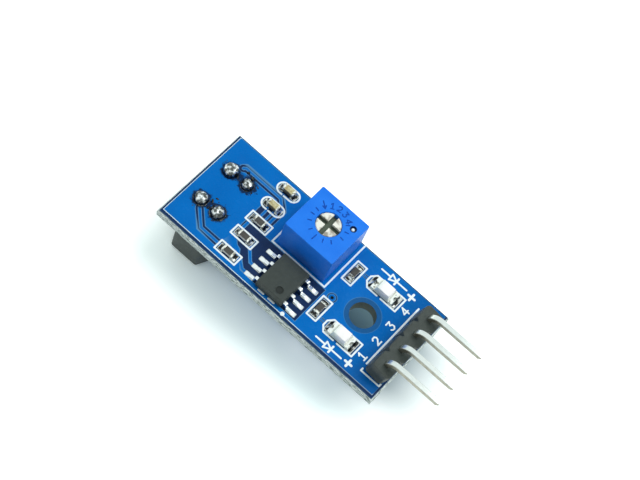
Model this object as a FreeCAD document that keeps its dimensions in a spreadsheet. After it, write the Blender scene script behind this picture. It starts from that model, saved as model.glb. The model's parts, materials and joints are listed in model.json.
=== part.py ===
import FreeCAD, Part
import math
import os
import Sketcher

# Infrared reflective sensor module. The origin is the centre of the mounting hole on the board's top
# face. +X runs to the header, +Y to the trimmer's side and +Z away from the component side.

Vector = FreeCAD.Vector
Rotation = FreeCAD.Rotation
Placement = FreeCAD.Placement

# Millimetres and degrees
SIZES = {
    "board_width": 14.0,
    "board_thickness": 1.6,
    "end_to_sensor": 3.7,
    "sensor_to_chips": 5.35,
    "chips_to_comparator": 6.67,
    "comparator_to_hole": 9.08,
    "hole_to_header": 5.28,
    "header_to_end": 1.92,
    "snap_web": 0.6,
    "snap_proud": 0.1,
    "score_inset": 0.25,
    "mounting_hole": 3.2,
    "hole_play": 0.05,
    "ring_width": 0.45,
    "pad_thickness": 0.05,
    "pad_margin": 0.08,
    "via_hole": 0.4,
    "via_to_hole": 3.85,
    "via_offset": -0.9,
    "legend_line": 0.16,
    "legend_thickness": 0.03,
    "sensor_offset": 0.1,
    "sensor_width": 5.8,
    "sensor_length": 10.2,
    "sensor_straight": 5.9,
    "sensor_end_width": 3.8,
    "sensor_height": 7.0,
    "sensor_standoff": 0.9,
    "sensor_foot": 0.8,
    "sensor_seat_rim": 0.12,
    "sensor_chamfer": 0.25,
    "lens_to_end": 2.56,
    "lens_diameter": 3.4,
    "lens_play": 0.05,
    "lens_recess": 0.3,
    "collar_width": 0.25,
    "collar_height": 1.0,
    "lead_pitch": 2.54,
    "lead_width": 0.5,
    "lead_stub": 0.5,
    "joint_1_spread": 1.0,
    "joint_1_height": 1.05,
    "joint_2_spread": 0.85,
    "joint_2_height": 0.85,
    "joint_3_spread": 0.9,
    "joint_3_height": 0.8,
    "joint_4_spread": 0.85,
    "joint_4_height": 0.8,
    "joint_shoulder": 0.82,
    "joint_shoulder_level": 0.5,
    "joint_crown": 0.35,
    "comparator_offset": -3.7,
    "comparator_width": 3.9,
    "comparator_length": 4.9,
    "comparator_height": 1.45,
    "comparator_standoff": 0.1,
    "comparator_draft": 6,
    "comparator_mark": 0.9,
    "comparator_mark_to_side": 1.25,
    "comparator_mark_to_end": 0.95,
    "comparator_mark_depth": 0.08,
    "gull_pitch": 1.27,
    "gull_width": 0.42,
    "gull_thickness": 0.2,
    "gull_span": 6.0,
    "gull_foot": 0.55,
    "gull_bend": 0.2,
    "gull_toe_pad": 0.7,
    "trimmer_shift": -0.2,
    "trimmer_offset": 3.11,
    "trimmer_width": 6.97,
    "trimmer_depth": 6.7,
    "trimmer_height": 4.75,
    "trimmer_standoff": 0.17,
    "trimmer_foot": 0.9,
    "trimmer_wall": 0.5,
    "trimmer_roof": 1.0,
    "trimmer_pip": 0.7,
    "trimmer_pip_depth": 0.3,
    "trimmer_pip_to_side": 1.1,
    "trimmer_pip_to_rear": 1.65,
    "rotor_shift": 0.05,
    "rotor_offset": 0.13,
    "rotor_diameter": 3.0,
    "rotor_play": 0.05,
    "rotor_recess": 0.05,
    "rotor_bevel": 0.12,
    "flange_width": 0.5,
    "flange_thickness": 0.6,
    "slot_width": 0.6,
    "slot_length": 3.2,
    "slot_depth": 0.65,
    "wiper_thickness": 0.15,
    "wiper_drop": 0.6,
    "wiper_width": 0.5,
    "wiper_clear": 0.05,
    "track_radius": 1.5,
    "substrate_thickness": 0.6,
    "potting_recess": 0.2,
    "trimmer_pin": 0.5,
    "trimmer_pin_play": 0.02,
    "trimmer_pin_inset": 0.445,
    "trimmer_pin_row": 1.27,
    "trimmer_pin_tail": 1.1,
    "header_pitch": 2.54,
    "header_width": 2.54,
    "header_height": 2.54,
    "header_notch": 0.35,
    "lean_angle": 12,
    "pin_width": 0.64,
    "pin_tail": 3.2,
    "pin_rise": 0.15,
    "pin_bend": 1.3,
    "pin_reach": 5.46,
    "pin_tip": 0.35,
    "pin_tip_angle": 22,
    "joint_neck": 0.12,
    "joint_height": 0.9,
    "chip_length": 1.6,
    "chip_width": 0.8,
    "chip_band": 0.3,
    "chip_skin": 0.03,
    "resistor_height": 0.45,
    "resistor_coat": 0.04,
    "capacitor_height": 0.8,
    "capacitor_shift": -0.2,
    "chip_solder_reach": 0.4,
    "chip_solder_height": 0.3,
    "resistor_1_offset": 0.06,
    "resistor_2_offset": -2.5,
    "resistor_3_offset": -5.24,
    "far_chips_to_hole": 4.0,
    "resistor_4_offset": 3.23,
    "resistor_5_offset": -2.92,
    "capacitor_1_offset": 5.43,
    "capacitor_2_offset": 2.7,
    "led_shift": -0.07,
    "led_1_offset": 3.97,
    "led_2_offset": -3.75,
    "led_length": 3.2,
    "led_width": 1.6,
    "led_base": 0.4,
    "led_band": 0.5,
    "led_notch": 0.3,
    "led_lens_length": 2.0,
    "led_lens_height": 0.7,
    "led_lens_draft": 12,
    "chip_frame_length": 3.0,
    "chip_frame_width": 1.34,
    "capacitor_frame_length": 2.6,
    "capacitor_frame_width": 1.2,
    "led_frame_length": 4.6,
    "led_frame_width": 1.9,
    "led_frame_gap": 0.5,
    "trimmer_frame_margin": 0.5,
    "header_line_length": 9.4,
    "header_line_gap": 1.35,
}

doc = FreeCAD.newDocument("infrared_reflective_sensor")
sizes = doc.addObject("Spreadsheet::Sheet", "Sizes")
for row, (name, size) in enumerate(SIZES.items(), start=1):
    sizes.set(f"A{row}", name)
    sizes.set(f"B{row}", str(size))
    sizes.setAlias(f"B{row}", name)
doc.recompute()

# Places and levels that several pieces share, as expressions over the sheet
COMPARATOR_X = "(-Sizes.comparator_to_hole)"
CHIPS_X = f"({COMPARATOR_X} - Sizes.chips_to_comparator)"
SENSOR_X = f"({CHIPS_X} - Sizes.sensor_to_chips)"
NEAR_END_X = f"({SENSOR_X} - Sizes.end_to_sensor)"
HEADER_X = "Sizes.hole_to_header"
FAR_END_X = f"({HEADER_X} + Sizes.header_to_end)"
BOARD_MIDDLE_X = f"(({NEAR_END_X} + {FAR_END_X}) / 2)"
TRIMMER_X = f"({COMPARATOR_X} + Sizes.trimmer_shift)"
UNDERSIDE = "(-Sizes.board_thickness)"
PAD_TOP = "Sizes.pad_thickness"
LENS_Y = "(Sizes.sensor_length / 2 - Sizes.lens_to_end)"
CAVITY_WIDTH = "(Sizes.trimmer_width - 2 * Sizes.trimmer_wall)"
CAVITY_DEPTH = "(Sizes.trimmer_depth - 2 * Sizes.trimmer_wall)"
TRIMMER_PIN_X = f"({CAVITY_WIDTH} / 2 - Sizes.trimmer_pin_inset)"
LEAD_HOLE = "(Sizes.lead_width * sqrt(2) / 2 + Sizes.hole_play)"
TRIMMER_HOLE = "(Sizes.trimmer_pin * sqrt(2) / 2 + Sizes.hole_play)"
LEAN_IN_BOARD = "Sizes.board_thickness / 2 * tan(Sizes.lean_angle)"
LEANING_REACH = f"(Sizes.pin_width / 2 / cos(Sizes.lean_angle) + {LEAN_IN_BOARD})"
HEADER_HOLE = f"(sqrt({LEANING_REACH} ^ 2 + (Sizes.pin_width / 2) ^ 2) + Sizes.hole_play)"
BORE = "(Sizes.lens_diameter / 2 + Sizes.lens_play)"
COLLAR = "(Sizes.lens_diameter / 2 + Sizes.collar_width)"


def value(expression):
    """The number that an expression over the sheet gives."""
    result = sizes.evalExpression(expression)
    return float(getattr(result, "Value", result))


def place(item, x="0", y="0", z="0", turn=None):
    """Binds an object's position, after an optional fixed rotation."""
    if turn:
        item.Placement = Placement(Vector(), turn)
    for axis, expression in zip("xyz", (x, y, z)):
        item.setExpression(f".Placement.Base.{axis}", expression)
    return item


def bind(item, **expressions):
    """Binds an object's sizes to the sheet."""
    for name, expression in expressions.items():
        item.setExpression(name, expression)
    return item


def arc_edge(start, end, radius):
    """The short arc between two points: to the left of its centre where the radius is positive."""
    chord = end - start
    left = Vector(-chord.y, chord.x, 0).normalize()
    rise = math.sqrt(max(radius ** 2 - chord.Length ** 2 / 4, 0))
    centre = (start + end) * 0.5 + left * math.copysign(rise, radius)
    first, last = (start, end) if radius > 0 else (end, start)
    from_angle = math.atan2(first.y - centre.y, first.x - centre.x)
    to_angle = math.atan2(last.y - centre.y, last.x - centre.x)
    if to_angle < from_angle:
        to_angle += 2 * math.pi
    circle = Part.Circle(centre, Vector(0, 0, 1), abs(radius))
    return Part.ArcOfCircle(circle, from_angle, to_angle)


def draw(sketch, corners, closed=True):
    """Draws one outline. A corner is (x, y), or (x, y, radius) where an arc leads to it.

    A half circle is held by its centre, because its ends already fix its radius.
    """
    points = [Vector(value(corner[0]), value(corner[1]), 0) for corner in corners]
    first = 0 if closed else 1
    edges = []
    for index in range(first, len(corners)):
        start = points[index - 1]
        end = points[index]
        if len(corners[index]) == 2:
            edge = sketch.addGeometry(Part.LineSegment(start, end), False)
            edges.append((edge, 1, 2))
            continue
        radius = value(corners[index][2])
        edge = sketch.addGeometry(arc_edge(start, end, radius), False)
        edges.append((edge, 1, 2) if radius > 0 else (edge, 2, 1))
    constraints = []
    expressions = {}

    def hold(kind, *where, expression):
        expressions[len(constraints)] = expression
        constraints.append(Sketcher.Constraint(kind, *where, value(expression)))

    following = edges[1:] + edges[:1] if closed else edges[1:]
    for (edge, _, end), (after, start, _) in zip(edges, following):
        constraints.append(Sketcher.Constraint("Coincident", edge, end, after, start))
    for index, (edge, _, end) in enumerate(edges, start=first):
        corner = corners[index]
        hold("DistanceX", -1, 1, edge, end, expression=corner[0])
        hold("DistanceY", -1, 1, edge, end, expression=corner[1])
        if len(corner) == 2:
            continue
        chord = points[index] - points[index - 1]
        if abs(value(corner[2])) > 0.5001 * chord.Length:
            hold("Radius", edge, expression=f"abs({corner[2]})")
        elif abs(chord.x) < abs(chord.y):
            hold("DistanceX", -1, 1, edge, 3, expression=f"({corners[index - 1][0]} + {corner[0]}) / 2")
        else:
            hold("DistanceY", -1, 1, edge, 3, expression=f"({corners[index - 1][1]} + {corner[1]}) / 2")
    if not closed:
        hold("DistanceX", -1, 1, edges[0][0], edges[0][1], expression=corners[0][0])
        hold("DistanceY", -1, 1, edges[0][0], edges[0][1], expression=corners[0][1])
    before = sketch.ConstraintCount
    sketch.addConstraint(constraints)
    for index, expression in expressions.items():
        sketch.setExpression(f"Constraints[{before + index}]", expression)
    return sketch


def draw_circle(sketch, x, y, radius):
    """Draws one circle with its centre and radius bound."""
    form = Part.Circle(Vector(value(x), value(y), 0), Vector(0, 0, 1), value(radius))
    circle = sketch.addGeometry(form, False)
    before = sketch.ConstraintCount
    sketch.addConstraint(Sketcher.Constraint("DistanceX", -1, 1, circle, 3, value(x)))
    sketch.addConstraint(Sketcher.Constraint("DistanceY", -1, 1, circle, 3, value(y)))
    sketch.addConstraint(Sketcher.Constraint("Radius", circle, value(radius)))
    for index, expression in enumerate((x, y, radius)):
        sketch.setExpression(f"Constraints[{before + index}]", expression)
    return sketch


def rectangle(length, width, x="0", y="0"):
    """Corners of a rectangle about a centre."""
    left = f"{x} - ({length}) / 2"
    right = f"{x} + ({length}) / 2"
    front = f"{y} - ({width}) / 2"
    back = f"{y} + ({width}) / 2"
    return [(left, front), (right, front), (right, back), (left, back)]


def new_body(label):
    """A body that becomes one file."""
    body = doc.addObject("PartDesign::Body", label)
    body.Label = label
    return body


def sketch_on(body, name, role="XY_Plane", level="0"):
    """A sketch on one of the body's own planes, raised by a level."""
    sketch = body.newObject("Sketcher::SketchObject", name)
    plane = next(item for item in body.Origin.OriginFeatures if item.Role == role)
    sketch.AttachmentSupport = [(plane, "")]
    sketch.MapMode = "FlatFace"
    sketch.setExpression(".AttachmentOffset.Base.z", level)
    return sketch


def feature(body, kind, sketch, name, **expressions):
    """A sketch-based feature of a body."""
    item = body.newObject(f"PartDesign::{kind}", name)
    item.Profile = sketch
    return bind(item, **expressions)


def revolved(body, sketch, name):
    """A full turn of a half section about its own upright axis."""
    item = body.newObject("PartDesign::Revolution", name)
    item.Profile = sketch
    item.ReferenceAxis = (sketch, ["V_Axis"])
    item.Angle = 360
    return item


def free_sketch(name, x="0", y="0", z="0", turn=None):
    """A sketch outside any body, placed where its profile is used."""
    return place(doc.addObject("Sketcher::SketchObject", name), x, y, z, turn)


def extruded(name, sketch, height, symmetric=False):
    """A solid from a free sketch."""
    item = doc.addObject("Part::Extrusion", name)
    item.Base = sketch
    item.DirMode = "Normal"
    item.Solid = True
    item.Symmetric = symmetric
    item.FaceMakerClass = "Part::FaceMakerBullseye"
    return bind(item, LengthFwd=height)


def block(name, length, width, height, x="0", y="0", z="0"):
    """A box centred on x and y, with its underside at z."""
    item = bind(doc.addObject("Part::Box", name), Length=length, Width=width, Height=height)
    return place(item, f"{x} - ({length}) / 2", f"{y} - ({width}) / 2", z)


def cut(name, base, tool):
    """One solid less another."""
    item = doc.addObject("Part::Cut", name)
    item.Base = base
    item.Tool = tool
    return item


def group(label, pieces):
    """Separate solids that make one sub-part."""
    item = doc.addObject("Part::Compound", label)
    item.Links = pieces
    item.Label = label
    return item


UPRIGHT = Rotation(Vector(1, 0, 0), 90)
HALF_TURN = Rotation(Vector(0, 0, 1), 180)
QUARTER_TURN = Rotation(Vector(0, 0, 1), 90)
ROW_OF_FOUR = (-1.5, -0.5, 0.5, 1.5)
parts = []

# Circuit board: snapped out of a scored panel, so its edge is a rough web between two bevels
SENSOR_HOLES = [
    (f"{SENSOR_X} - Sizes.lead_pitch / 2", f"Sizes.sensor_offset + {LENS_Y}"),
    (f"{SENSOR_X} + Sizes.lead_pitch / 2", f"Sizes.sensor_offset + {LENS_Y}"),
    (f"{SENSOR_X} - Sizes.lead_pitch / 2", f"Sizes.sensor_offset - {LENS_Y}"),
    (f"{SENSOR_X} + Sizes.lead_pitch / 2", f"Sizes.sensor_offset - {LENS_Y}"),
]
TRIMMER_HOLES = [
    (f"{TRIMMER_X} - {TRIMMER_PIN_X}", "Sizes.trimmer_offset - Sizes.trimmer_pin_row"),
    (TRIMMER_X, "Sizes.trimmer_offset + Sizes.trimmer_pin_row"),
    (f"{TRIMMER_X} + {TRIMMER_PIN_X}", "Sizes.trimmer_offset - Sizes.trimmer_pin_row"),
]
HEADER_HOLES = [(HEADER_X, f"{place_in_row} * Sizes.header_pitch") for place_in_row in ROW_OF_FOUR]
VIA = ("(-Sizes.via_to_hole)", "Sizes.via_offset")


def circuit_board():
    body = new_body("circuit_board")
    whole_length = f"({FAR_END_X} - {NEAR_END_X} + 2 * Sizes.snap_proud)"
    whole_width = "(Sizes.board_width + 2 * Sizes.snap_proud)"
    score_depth = "((Sizes.board_thickness - Sizes.snap_web) / 2)"
    taper = f"-atan(Sizes.score_inset / {score_depth})"
    upper = sketch_on(body, "web_top", level=f"-{score_depth}")
    draw(upper, rectangle(whole_length, whole_width, BOARD_MIDDLE_X))
    feature(body, "Pad", upper, "component_side", Length=score_depth, TaperAngle=taper)
    web = feature(body, "Pad", upper, "web", Length="Sizes.snap_web")
    web.Reversed = True
    lower = sketch_on(body, "web_bottom", level=f"{UNDERSIDE} + {score_depth}")
    draw(lower, rectangle(whole_length, whole_width, BOARD_MIDDLE_X))
    sensor_side = feature(body, "Pad", lower, "sensor_side", Length=score_depth, TaperAngle=taper)
    sensor_side.Reversed = True
    holes = sketch_on(body, "hole_layout")
    draw_circle(holes, "0", "0", "Sizes.mounting_hole / 2")
    draw_circle(holes, *VIA, "Sizes.via_hole / 2")
    drilled = ((SENSOR_HOLES, LEAD_HOLE), (TRIMMER_HOLES, TRIMMER_HOLE), (HEADER_HOLES, HEADER_HOLE))
    for places, radius in drilled:
        for x, y in places:
            draw_circle(holes, x, y, radius)
    feature(body, "Pocket", holes, "drilled_holes", Length="Sizes.board_thickness")
    return body


parts.append(circuit_board())


# Chips: each has a place, a turn and a height, and two pads beyond its ends
RESISTORS = [
    (CHIPS_X, "Sizes.resistor_1_offset", False),
    (CHIPS_X, "Sizes.resistor_2_offset", False),
    (CHIPS_X, "Sizes.resistor_3_offset", False),
    ("(-Sizes.far_chips_to_hole)", "Sizes.resistor_4_offset", True),
    ("(-Sizes.far_chips_to_hole)", "Sizes.resistor_5_offset", True),
]
CAPACITORS = [
    (f"({CHIPS_X} + Sizes.capacitor_shift)", "Sizes.capacitor_1_offset", False),
    (f"({CHIPS_X} + Sizes.capacitor_shift)", "Sizes.capacitor_2_offset", False),
]
LEDS = [("Sizes.led_shift", "Sizes.led_1_offset", False), ("Sizes.led_shift", "Sizes.led_2_offset", False)]
GULL_LEADS = [(side, place_in_row) for side in (-1, 1) for place_in_row in ROW_OF_FOUR]


def gull_y(place_in_row):
    return f"(Sizes.comparator_offset + {place_in_row} * Sizes.gull_pitch)"


# Pads: tinned copper under each chip's end and each gull-wing foot
def chip_pads(name, chip, length, width, band):
    x, y, turned = chip
    pad_length = f"({band} + Sizes.chip_solder_reach + Sizes.pad_margin)"
    pad_width = f"({width} + 2 * Sizes.pad_margin)"
    centre = f"(({length}) / 2 - {band} + {pad_length} / 2)"
    pads = []
    for side in (-1, 1):
        if turned:
            pad = block(f"{name}_{side + 2}", pad_width, pad_length, PAD_TOP, x, f"{y} + {side} * {centre}")
        else:
            pad = block(f"{name}_{side + 2}", pad_length, pad_width, PAD_TOP, f"{x} + {side} * {centre}", y)
        pads.append(pad)
    return pads


def board_pads():
    pads = []
    for number, chip in enumerate(RESISTORS + CAPACITORS, start=1):
        pads += chip_pads(f"chip_pad_{number}", chip, "Sizes.chip_length", "Sizes.chip_width",
                          "Sizes.chip_band")
    for number, led in enumerate(LEDS, start=1):
        pads += chip_pads(f"led_pad_{number}", led, "Sizes.led_length", "Sizes.led_width", "Sizes.led_band")
    pad_length = "(Sizes.gull_foot + Sizes.gull_toe_pad + 2 * Sizes.pad_margin)"
    pad_width = "(Sizes.gull_width + 2 * Sizes.pad_margin)"
    centre = f"(Sizes.gull_span / 2 + Sizes.gull_toe_pad + Sizes.pad_margin - {pad_length} / 2)"
    for side, place_in_row in GULL_LEADS:
        name = f"gull_pad_{len(pads)}"
        pads.append(block(name, pad_length, pad_width, PAD_TOP, f"{COMPARATOR_X} + {side} * {centre}",
                          gull_y(place_in_row)))
    return group("board_pads", pads)


parts.append(board_pads())


# Legend: printed outlines round the components, a thin raised layer of white ink
def frame_print(name, x, y, outer, inner):
    sketch = free_sketch(f"{name}_outline", x, y)
    draw(sketch, outer)
    if inner:
        draw(sketch, inner)
    return extruded(name, sketch, "Sizes.legend_thickness")


def inner_of(length):
    return f"({length} - 2 * Sizes.legend_line)"


def chip_frame(name, chip):
    x, y, turned = chip
    across = "Sizes.chip_frame_width" if turned else "Sizes.chip_frame_length"
    along = "Sizes.chip_frame_length" if turned else "Sizes.chip_frame_width"
    return frame_print(name, x, y, rectangle(across, along), rectangle(inner_of(across), inner_of(along)))


def slot_outline(length, width):
    """Two straight sides joined by half circles."""
    flat = f"(({length} - {width}) / 2)"
    half = f"({width} / 2)"
    return [(f"-{flat}", f"-{half}", half), (flat, f"-{half}"), (flat, half, half), (f"-{flat}", half)]


def led_outline(length, width):
    """A rectangle whose two corners at the marked end are cut off."""
    x = f"({length} / 2)"
    y = f"({width} / 2)"
    bevel = f"({width} / 4)"
    return [(f"-{x} + {bevel}", f"-{y}"), (x, f"-{y}"), (x, y), (f"-{x} + {bevel}", y),
            (f"-{x}", f"{y} - {bevel}"), (f"-{x}", f"-{y} + {bevel}")]


def legend_print():
    prints = []
    for number, chip in enumerate(RESISTORS, start=1):
        prints.append(chip_frame(f"resistor_frame_{number}", chip))
    for number, (x, y, _) in enumerate(CAPACITORS, start=1):
        outer = slot_outline("Sizes.capacitor_frame_length", "Sizes.capacitor_frame_width")
        inner = slot_outline(inner_of("Sizes.capacitor_frame_length"),
                             inner_of("Sizes.capacitor_frame_width"))
        prints.append(frame_print(f"capacitor_frame_{number}", x, y, outer, inner))
    for number, (x, y, _) in enumerate(LEDS, start=1):
        outer = led_outline("Sizes.led_frame_length", "Sizes.led_frame_width")
        inner = led_outline(inner_of("Sizes.led_frame_length"), inner_of("Sizes.led_frame_width"))
        whole = frame_print(f"led_frame_{number}_whole", x, y, outer, inner)
        gap_y = f"{y} - Sizes.led_frame_width / 2"
        gap = block(f"led_frame_gap_{number}", "Sizes.led_frame_gap", "3 * Sizes.legend_line",
                    "Sizes.legend_thickness", x, gap_y)
        prints.append(cut(f"led_frame_{number}", whole, gap))
    line_x = f"{HEADER_X} - Sizes.header_line_gap + Sizes.legend_line / 2"
    prints.append(block("header_line", "Sizes.legend_line", "Sizes.header_line_length",
                        "Sizes.legend_thickness", line_x))
    side = "(Sizes.trimmer_width / 2 + Sizes.trimmer_frame_margin)"
    front = "(-Sizes.trimmer_depth / 2 - Sizes.trimmer_frame_margin)"
    back = "(Sizes.trimmer_depth / 2)"
    line = "Sizes.legend_line"
    u_shape = [(f"-{side}", back), (f"-{side}", front), (side, front), (side, back),
               (f"{side} - {line}", back),
               (f"{side} - {line}", f"{front} + {line}"), (f"-{side} + {line}", f"{front} + {line}"),
               (f"-{side} + {line}", back)]
    prints.append(frame_print("trimmer_frame", TRIMMER_X, "Sizes.trimmer_offset", u_shape, None))
    return group("legend_print", prints)


parts.append(legend_print())


# Sensor: a moulded housing under the board holds two lens castings, each with two leads
def sensor_outline():
    wide = "(Sizes.sensor_width / 2)"
    narrow = "(Sizes.sensor_end_width / 2)"
    straight = "(Sizes.sensor_straight / 2)"
    end = "(Sizes.sensor_length / 2)"
    return [(wide, f"-{straight}"), (wide, straight), (narrow, end), (f"-{narrow}", end),
            (f"-{wide}", straight), (f"-{wide}", f"-{straight}"), (f"-{narrow}", f"-{end}"),
            (narrow, f"-{end}")]


def sensor_housing():
    body = place(new_body("sensor_housing"), SENSOR_X, "Sizes.sensor_offset", UNDERSIDE)
    roof = "(-Sizes.sensor_standoff)"
    outline = sketch_on(body, "housing_outline", level=roof)
    draw(outline, sensor_outline())
    upper = feature(body, "Pad", outline, "walls", Length="Sizes.sensor_height - Sizes.sensor_chamfer")
    upper.Reversed = True
    rim = sketch_on(body, "rim_outline", level=f"{roof} - Sizes.sensor_height + Sizes.sensor_chamfer")
    draw(rim, sensor_outline())
    face = feature(body, "Pad", rim, "face", Length="Sizes.sensor_chamfer")
    face.Reversed = True
    face.TaperAngle = -45
    feet = sketch_on(body, "feet_outline", level=roof)
    foot = "Sizes.sensor_foot"
    draw(feet, rectangle("Sizes.sensor_end_width", foot))
    end_foot = f"({LENS_Y} + {COLLAR} + Sizes.lens_play + Sizes.sensor_seat_rim)"
    for side in (-1, 1):
        middle = f"({side} * (Sizes.sensor_length / 2 + {end_foot}) / 2)"
        draw(feet, rectangle(foot, f"(Sizes.sensor_length / 2 - {end_foot})", y=middle))
    feature(body, "Pad", feet, "feet", Length="Sizes.sensor_standoff")
    bores = sketch_on(body, "bore_layout", level=roof)
    seats = sketch_on(body, "seat_layout", level=roof)
    for side in (-1, 1):
        draw_circle(bores, "0", f"{side} * {LENS_Y}", BORE)
        draw_circle(seats, "0", f"{side} * {LENS_Y}", f"{COLLAR} + Sizes.lens_play")
    feature(body, "Pocket", bores, "lens_bores", Length="Sizes.sensor_height")
    feature(body, "Pocket", seats, "collar_seats", Length="Sizes.collar_height")
    return body


def lens_casting(label, side):
    body = new_body(label)
    place(body, SENSOR_X, f"Sizes.sensor_offset + {side} * {LENS_Y}", f"{UNDERSIDE} - Sizes.sensor_standoff")
    radius = "(Sizes.lens_diameter / 2)"
    tip = "(-Sizes.sensor_height + Sizes.lens_recess)"
    section = sketch_on(body, "half_section", "XZ_Plane")
    draw(section, [("0", "0"), ("0", tip), (radius, f"{tip} + {radius}", radius),
                   (radius, "-Sizes.collar_height"), (COLLAR, "-Sizes.collar_height"), (COLLAR, "0")])
    revolved(body, section, "casting")
    return body


def sensor_lead(label, hole):
    x, y = hole
    body = place(new_body(label), x, y, f"{UNDERSIDE} - Sizes.sensor_standoff")
    square = sketch_on(body, "wire_section")
    draw(square, rectangle("Sizes.lead_width", "Sizes.lead_width"))
    feature(body, "Pad", square, "wire",
            Length="Sizes.sensor_standoff + Sizes.board_thickness + Sizes.lead_stub")
    return body


def sensor_solder():
    joints = []
    for number, (x, y) in enumerate(SENSOR_HOLES, start=1):
        spread = f"Sizes.joint_{number}_spread"
        height = f"Sizes.joint_{number}_height"
        section = free_sketch(f"sensor_joint_section_{number}", turn=UPRIGHT)
        shoulder = (f"Sizes.joint_shoulder * {spread}", f"Sizes.joint_shoulder_level * {height}")
        draw(section, [("0", "0"), (spread, "0"), shoulder, (f"Sizes.joint_crown * {spread}", height),
                       ("0", height)])
        mound = doc.addObject("Part::Revolution", f"sensor_mound_{number}")
        mound.Source = section
        mound.Axis = Vector(0, 0, 1)
        mound.Angle = 360
        mound.Solid = True
        place(mound, x, y)
        wire = block(f"sensor_wire_room_{number}", "Sizes.lead_width", "Sizes.lead_width",
                     "Sizes.lead_stub", x, y)
        joints.append(cut(f"sensor_joint_{number}", mound, wire))
    return group("sensor_solder", joints)


parts.append(sensor_housing())
parts.append(lens_casting("infrared_emitter", -1))
parts.append(lens_casting("infrared_detector", 1))
parts.append(sensor_lead("detector_lead_1", SENSOR_HOLES[0]))
parts.append(sensor_lead("detector_lead_2", SENSOR_HOLES[1]))
parts.append(sensor_lead("emitter_lead_1", SENSOR_HOLES[2]))
parts.append(sensor_lead("emitter_lead_2", SENSOR_HOLES[3]))
parts.append(sensor_solder())


# Comparator: a moulded package with drafted sides and eight gull-wing leads
LEAD_LEVEL = "(Sizes.comparator_standoff + Sizes.comparator_height / 2)"


def comparator_body():
    body = place(new_body("comparator_body"), COMPARATOR_X, "Sizes.comparator_offset", LEAD_LEVEL)
    parting = sketch_on(body, "parting_outline")
    draw(parting, rectangle("Sizes.comparator_width", "Sizes.comparator_length"))
    half = "Sizes.comparator_height / 2"
    feature(body, "Pad", parting, "upper_half", Length=half, TaperAngle="-Sizes.comparator_draft")
    lower = feature(body, "Pad", parting, "lower_half", Length=half, TaperAngle="-Sizes.comparator_draft")
    lower.Reversed = True
    mark = sketch_on(body, "mark_outline", level=half)
    draw_circle(mark, "Sizes.comparator_width / 2 - Sizes.comparator_mark_to_side",
                "-Sizes.comparator_length / 2 + Sizes.comparator_mark_to_end",
                "Sizes.comparator_mark / 2")
    feature(body, "Pocket", mark, "end_mark", Length="Sizes.comparator_mark_depth")
    return body


def comparator_lead(label, side, place_in_row):
    turn = HALF_TURN if side < 0 else None
    body = place(new_body(label), COMPARATOR_X, gull_y(place_in_row), turn=turn)
    root = "(Sizes.comparator_width / 2)"
    top = f"({LEAD_LEVEL} + Sizes.gull_thickness / 2)"
    bottom = f"({LEAD_LEVEL} - Sizes.gull_thickness / 2)"
    sole = PAD_TOP
    foot_top = "(Sizes.pad_thickness + Sizes.gull_thickness)"
    toe = "(Sizes.gull_span / 2)"
    bend = "Sizes.gull_bend"
    front = f"({toe} - Sizes.gull_foot)"
    back = f"({front} - Sizes.gull_thickness)"
    side_view = sketch_on(body, "side_view", "XZ_Plane")
    draw(side_view, [
        (root, bottom), (back, bottom), (back, f"{sole} + {bend}"), (f"{back} + {bend}", sole, bend),
        (toe, sole), (toe, foot_top), (front, foot_top), (front, f"{top} - {bend}"),
        (f"{front} - {bend}", top, bend), (root, top)])
    strip = feature(body, "Pad", side_view, "strip", Length="Sizes.gull_width")
    strip.SideType = "Symmetric"
    return body


def toe_fillet(name, x, y, start, reach, height, width, turn):
    """A wedge of solder from a piece's end down to its pad."""
    sketch = free_sketch(f"{name}_section", x, y, turn=turn.multiply(UPRIGHT) if turn else UPRIGHT)
    foot = f"({start} + {reach})"
    top = f"({PAD_TOP} + {height})"
    draw(sketch, [(start, PAD_TOP), (foot, PAD_TOP), (start, top)])
    return extruded(name, sketch, width, symmetric=True)


def comparator_solder():
    fillets = []
    for number, (side, place_in_row) in enumerate(GULL_LEADS, start=1):
        turn = HALF_TURN if side < 0 else None
        fillets.append(toe_fillet(f"gull_fillet_{number}", COMPARATOR_X, gull_y(place_in_row),
                                  "(Sizes.gull_span / 2)", "Sizes.gull_toe_pad", "Sizes.gull_thickness",
                                  "Sizes.gull_width", turn))
    return group("comparator_solder", fillets)


parts.append(comparator_body())
for number, (side, place_in_row) in enumerate(GULL_LEADS, start=1):
    parts.append(comparator_lead(f"comparator_lead_{number}", side, place_in_row))
parts.append(comparator_solder())


# Trimmer: a moulded case, a slotted rotor held by its flange under the roof, and a resistive plate
TRIMMER_TOP = "(Sizes.trimmer_standoff + Sizes.trimmer_height)"
ROOF = f"({TRIMMER_TOP} - Sizes.trimmer_roof)"
FLANGE_TOP = f"({ROOF} - Sizes.rotor_play)"
FLANGE_BOTTOM = f"({FLANGE_TOP} - Sizes.flange_thickness)"
TRACK = f"({FLANGE_BOTTOM} - Sizes.wiper_thickness - Sizes.wiper_drop - Sizes.wiper_clear)"
PLATE_BOTTOM = f"({TRACK} - Sizes.substrate_thickness)"


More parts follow.
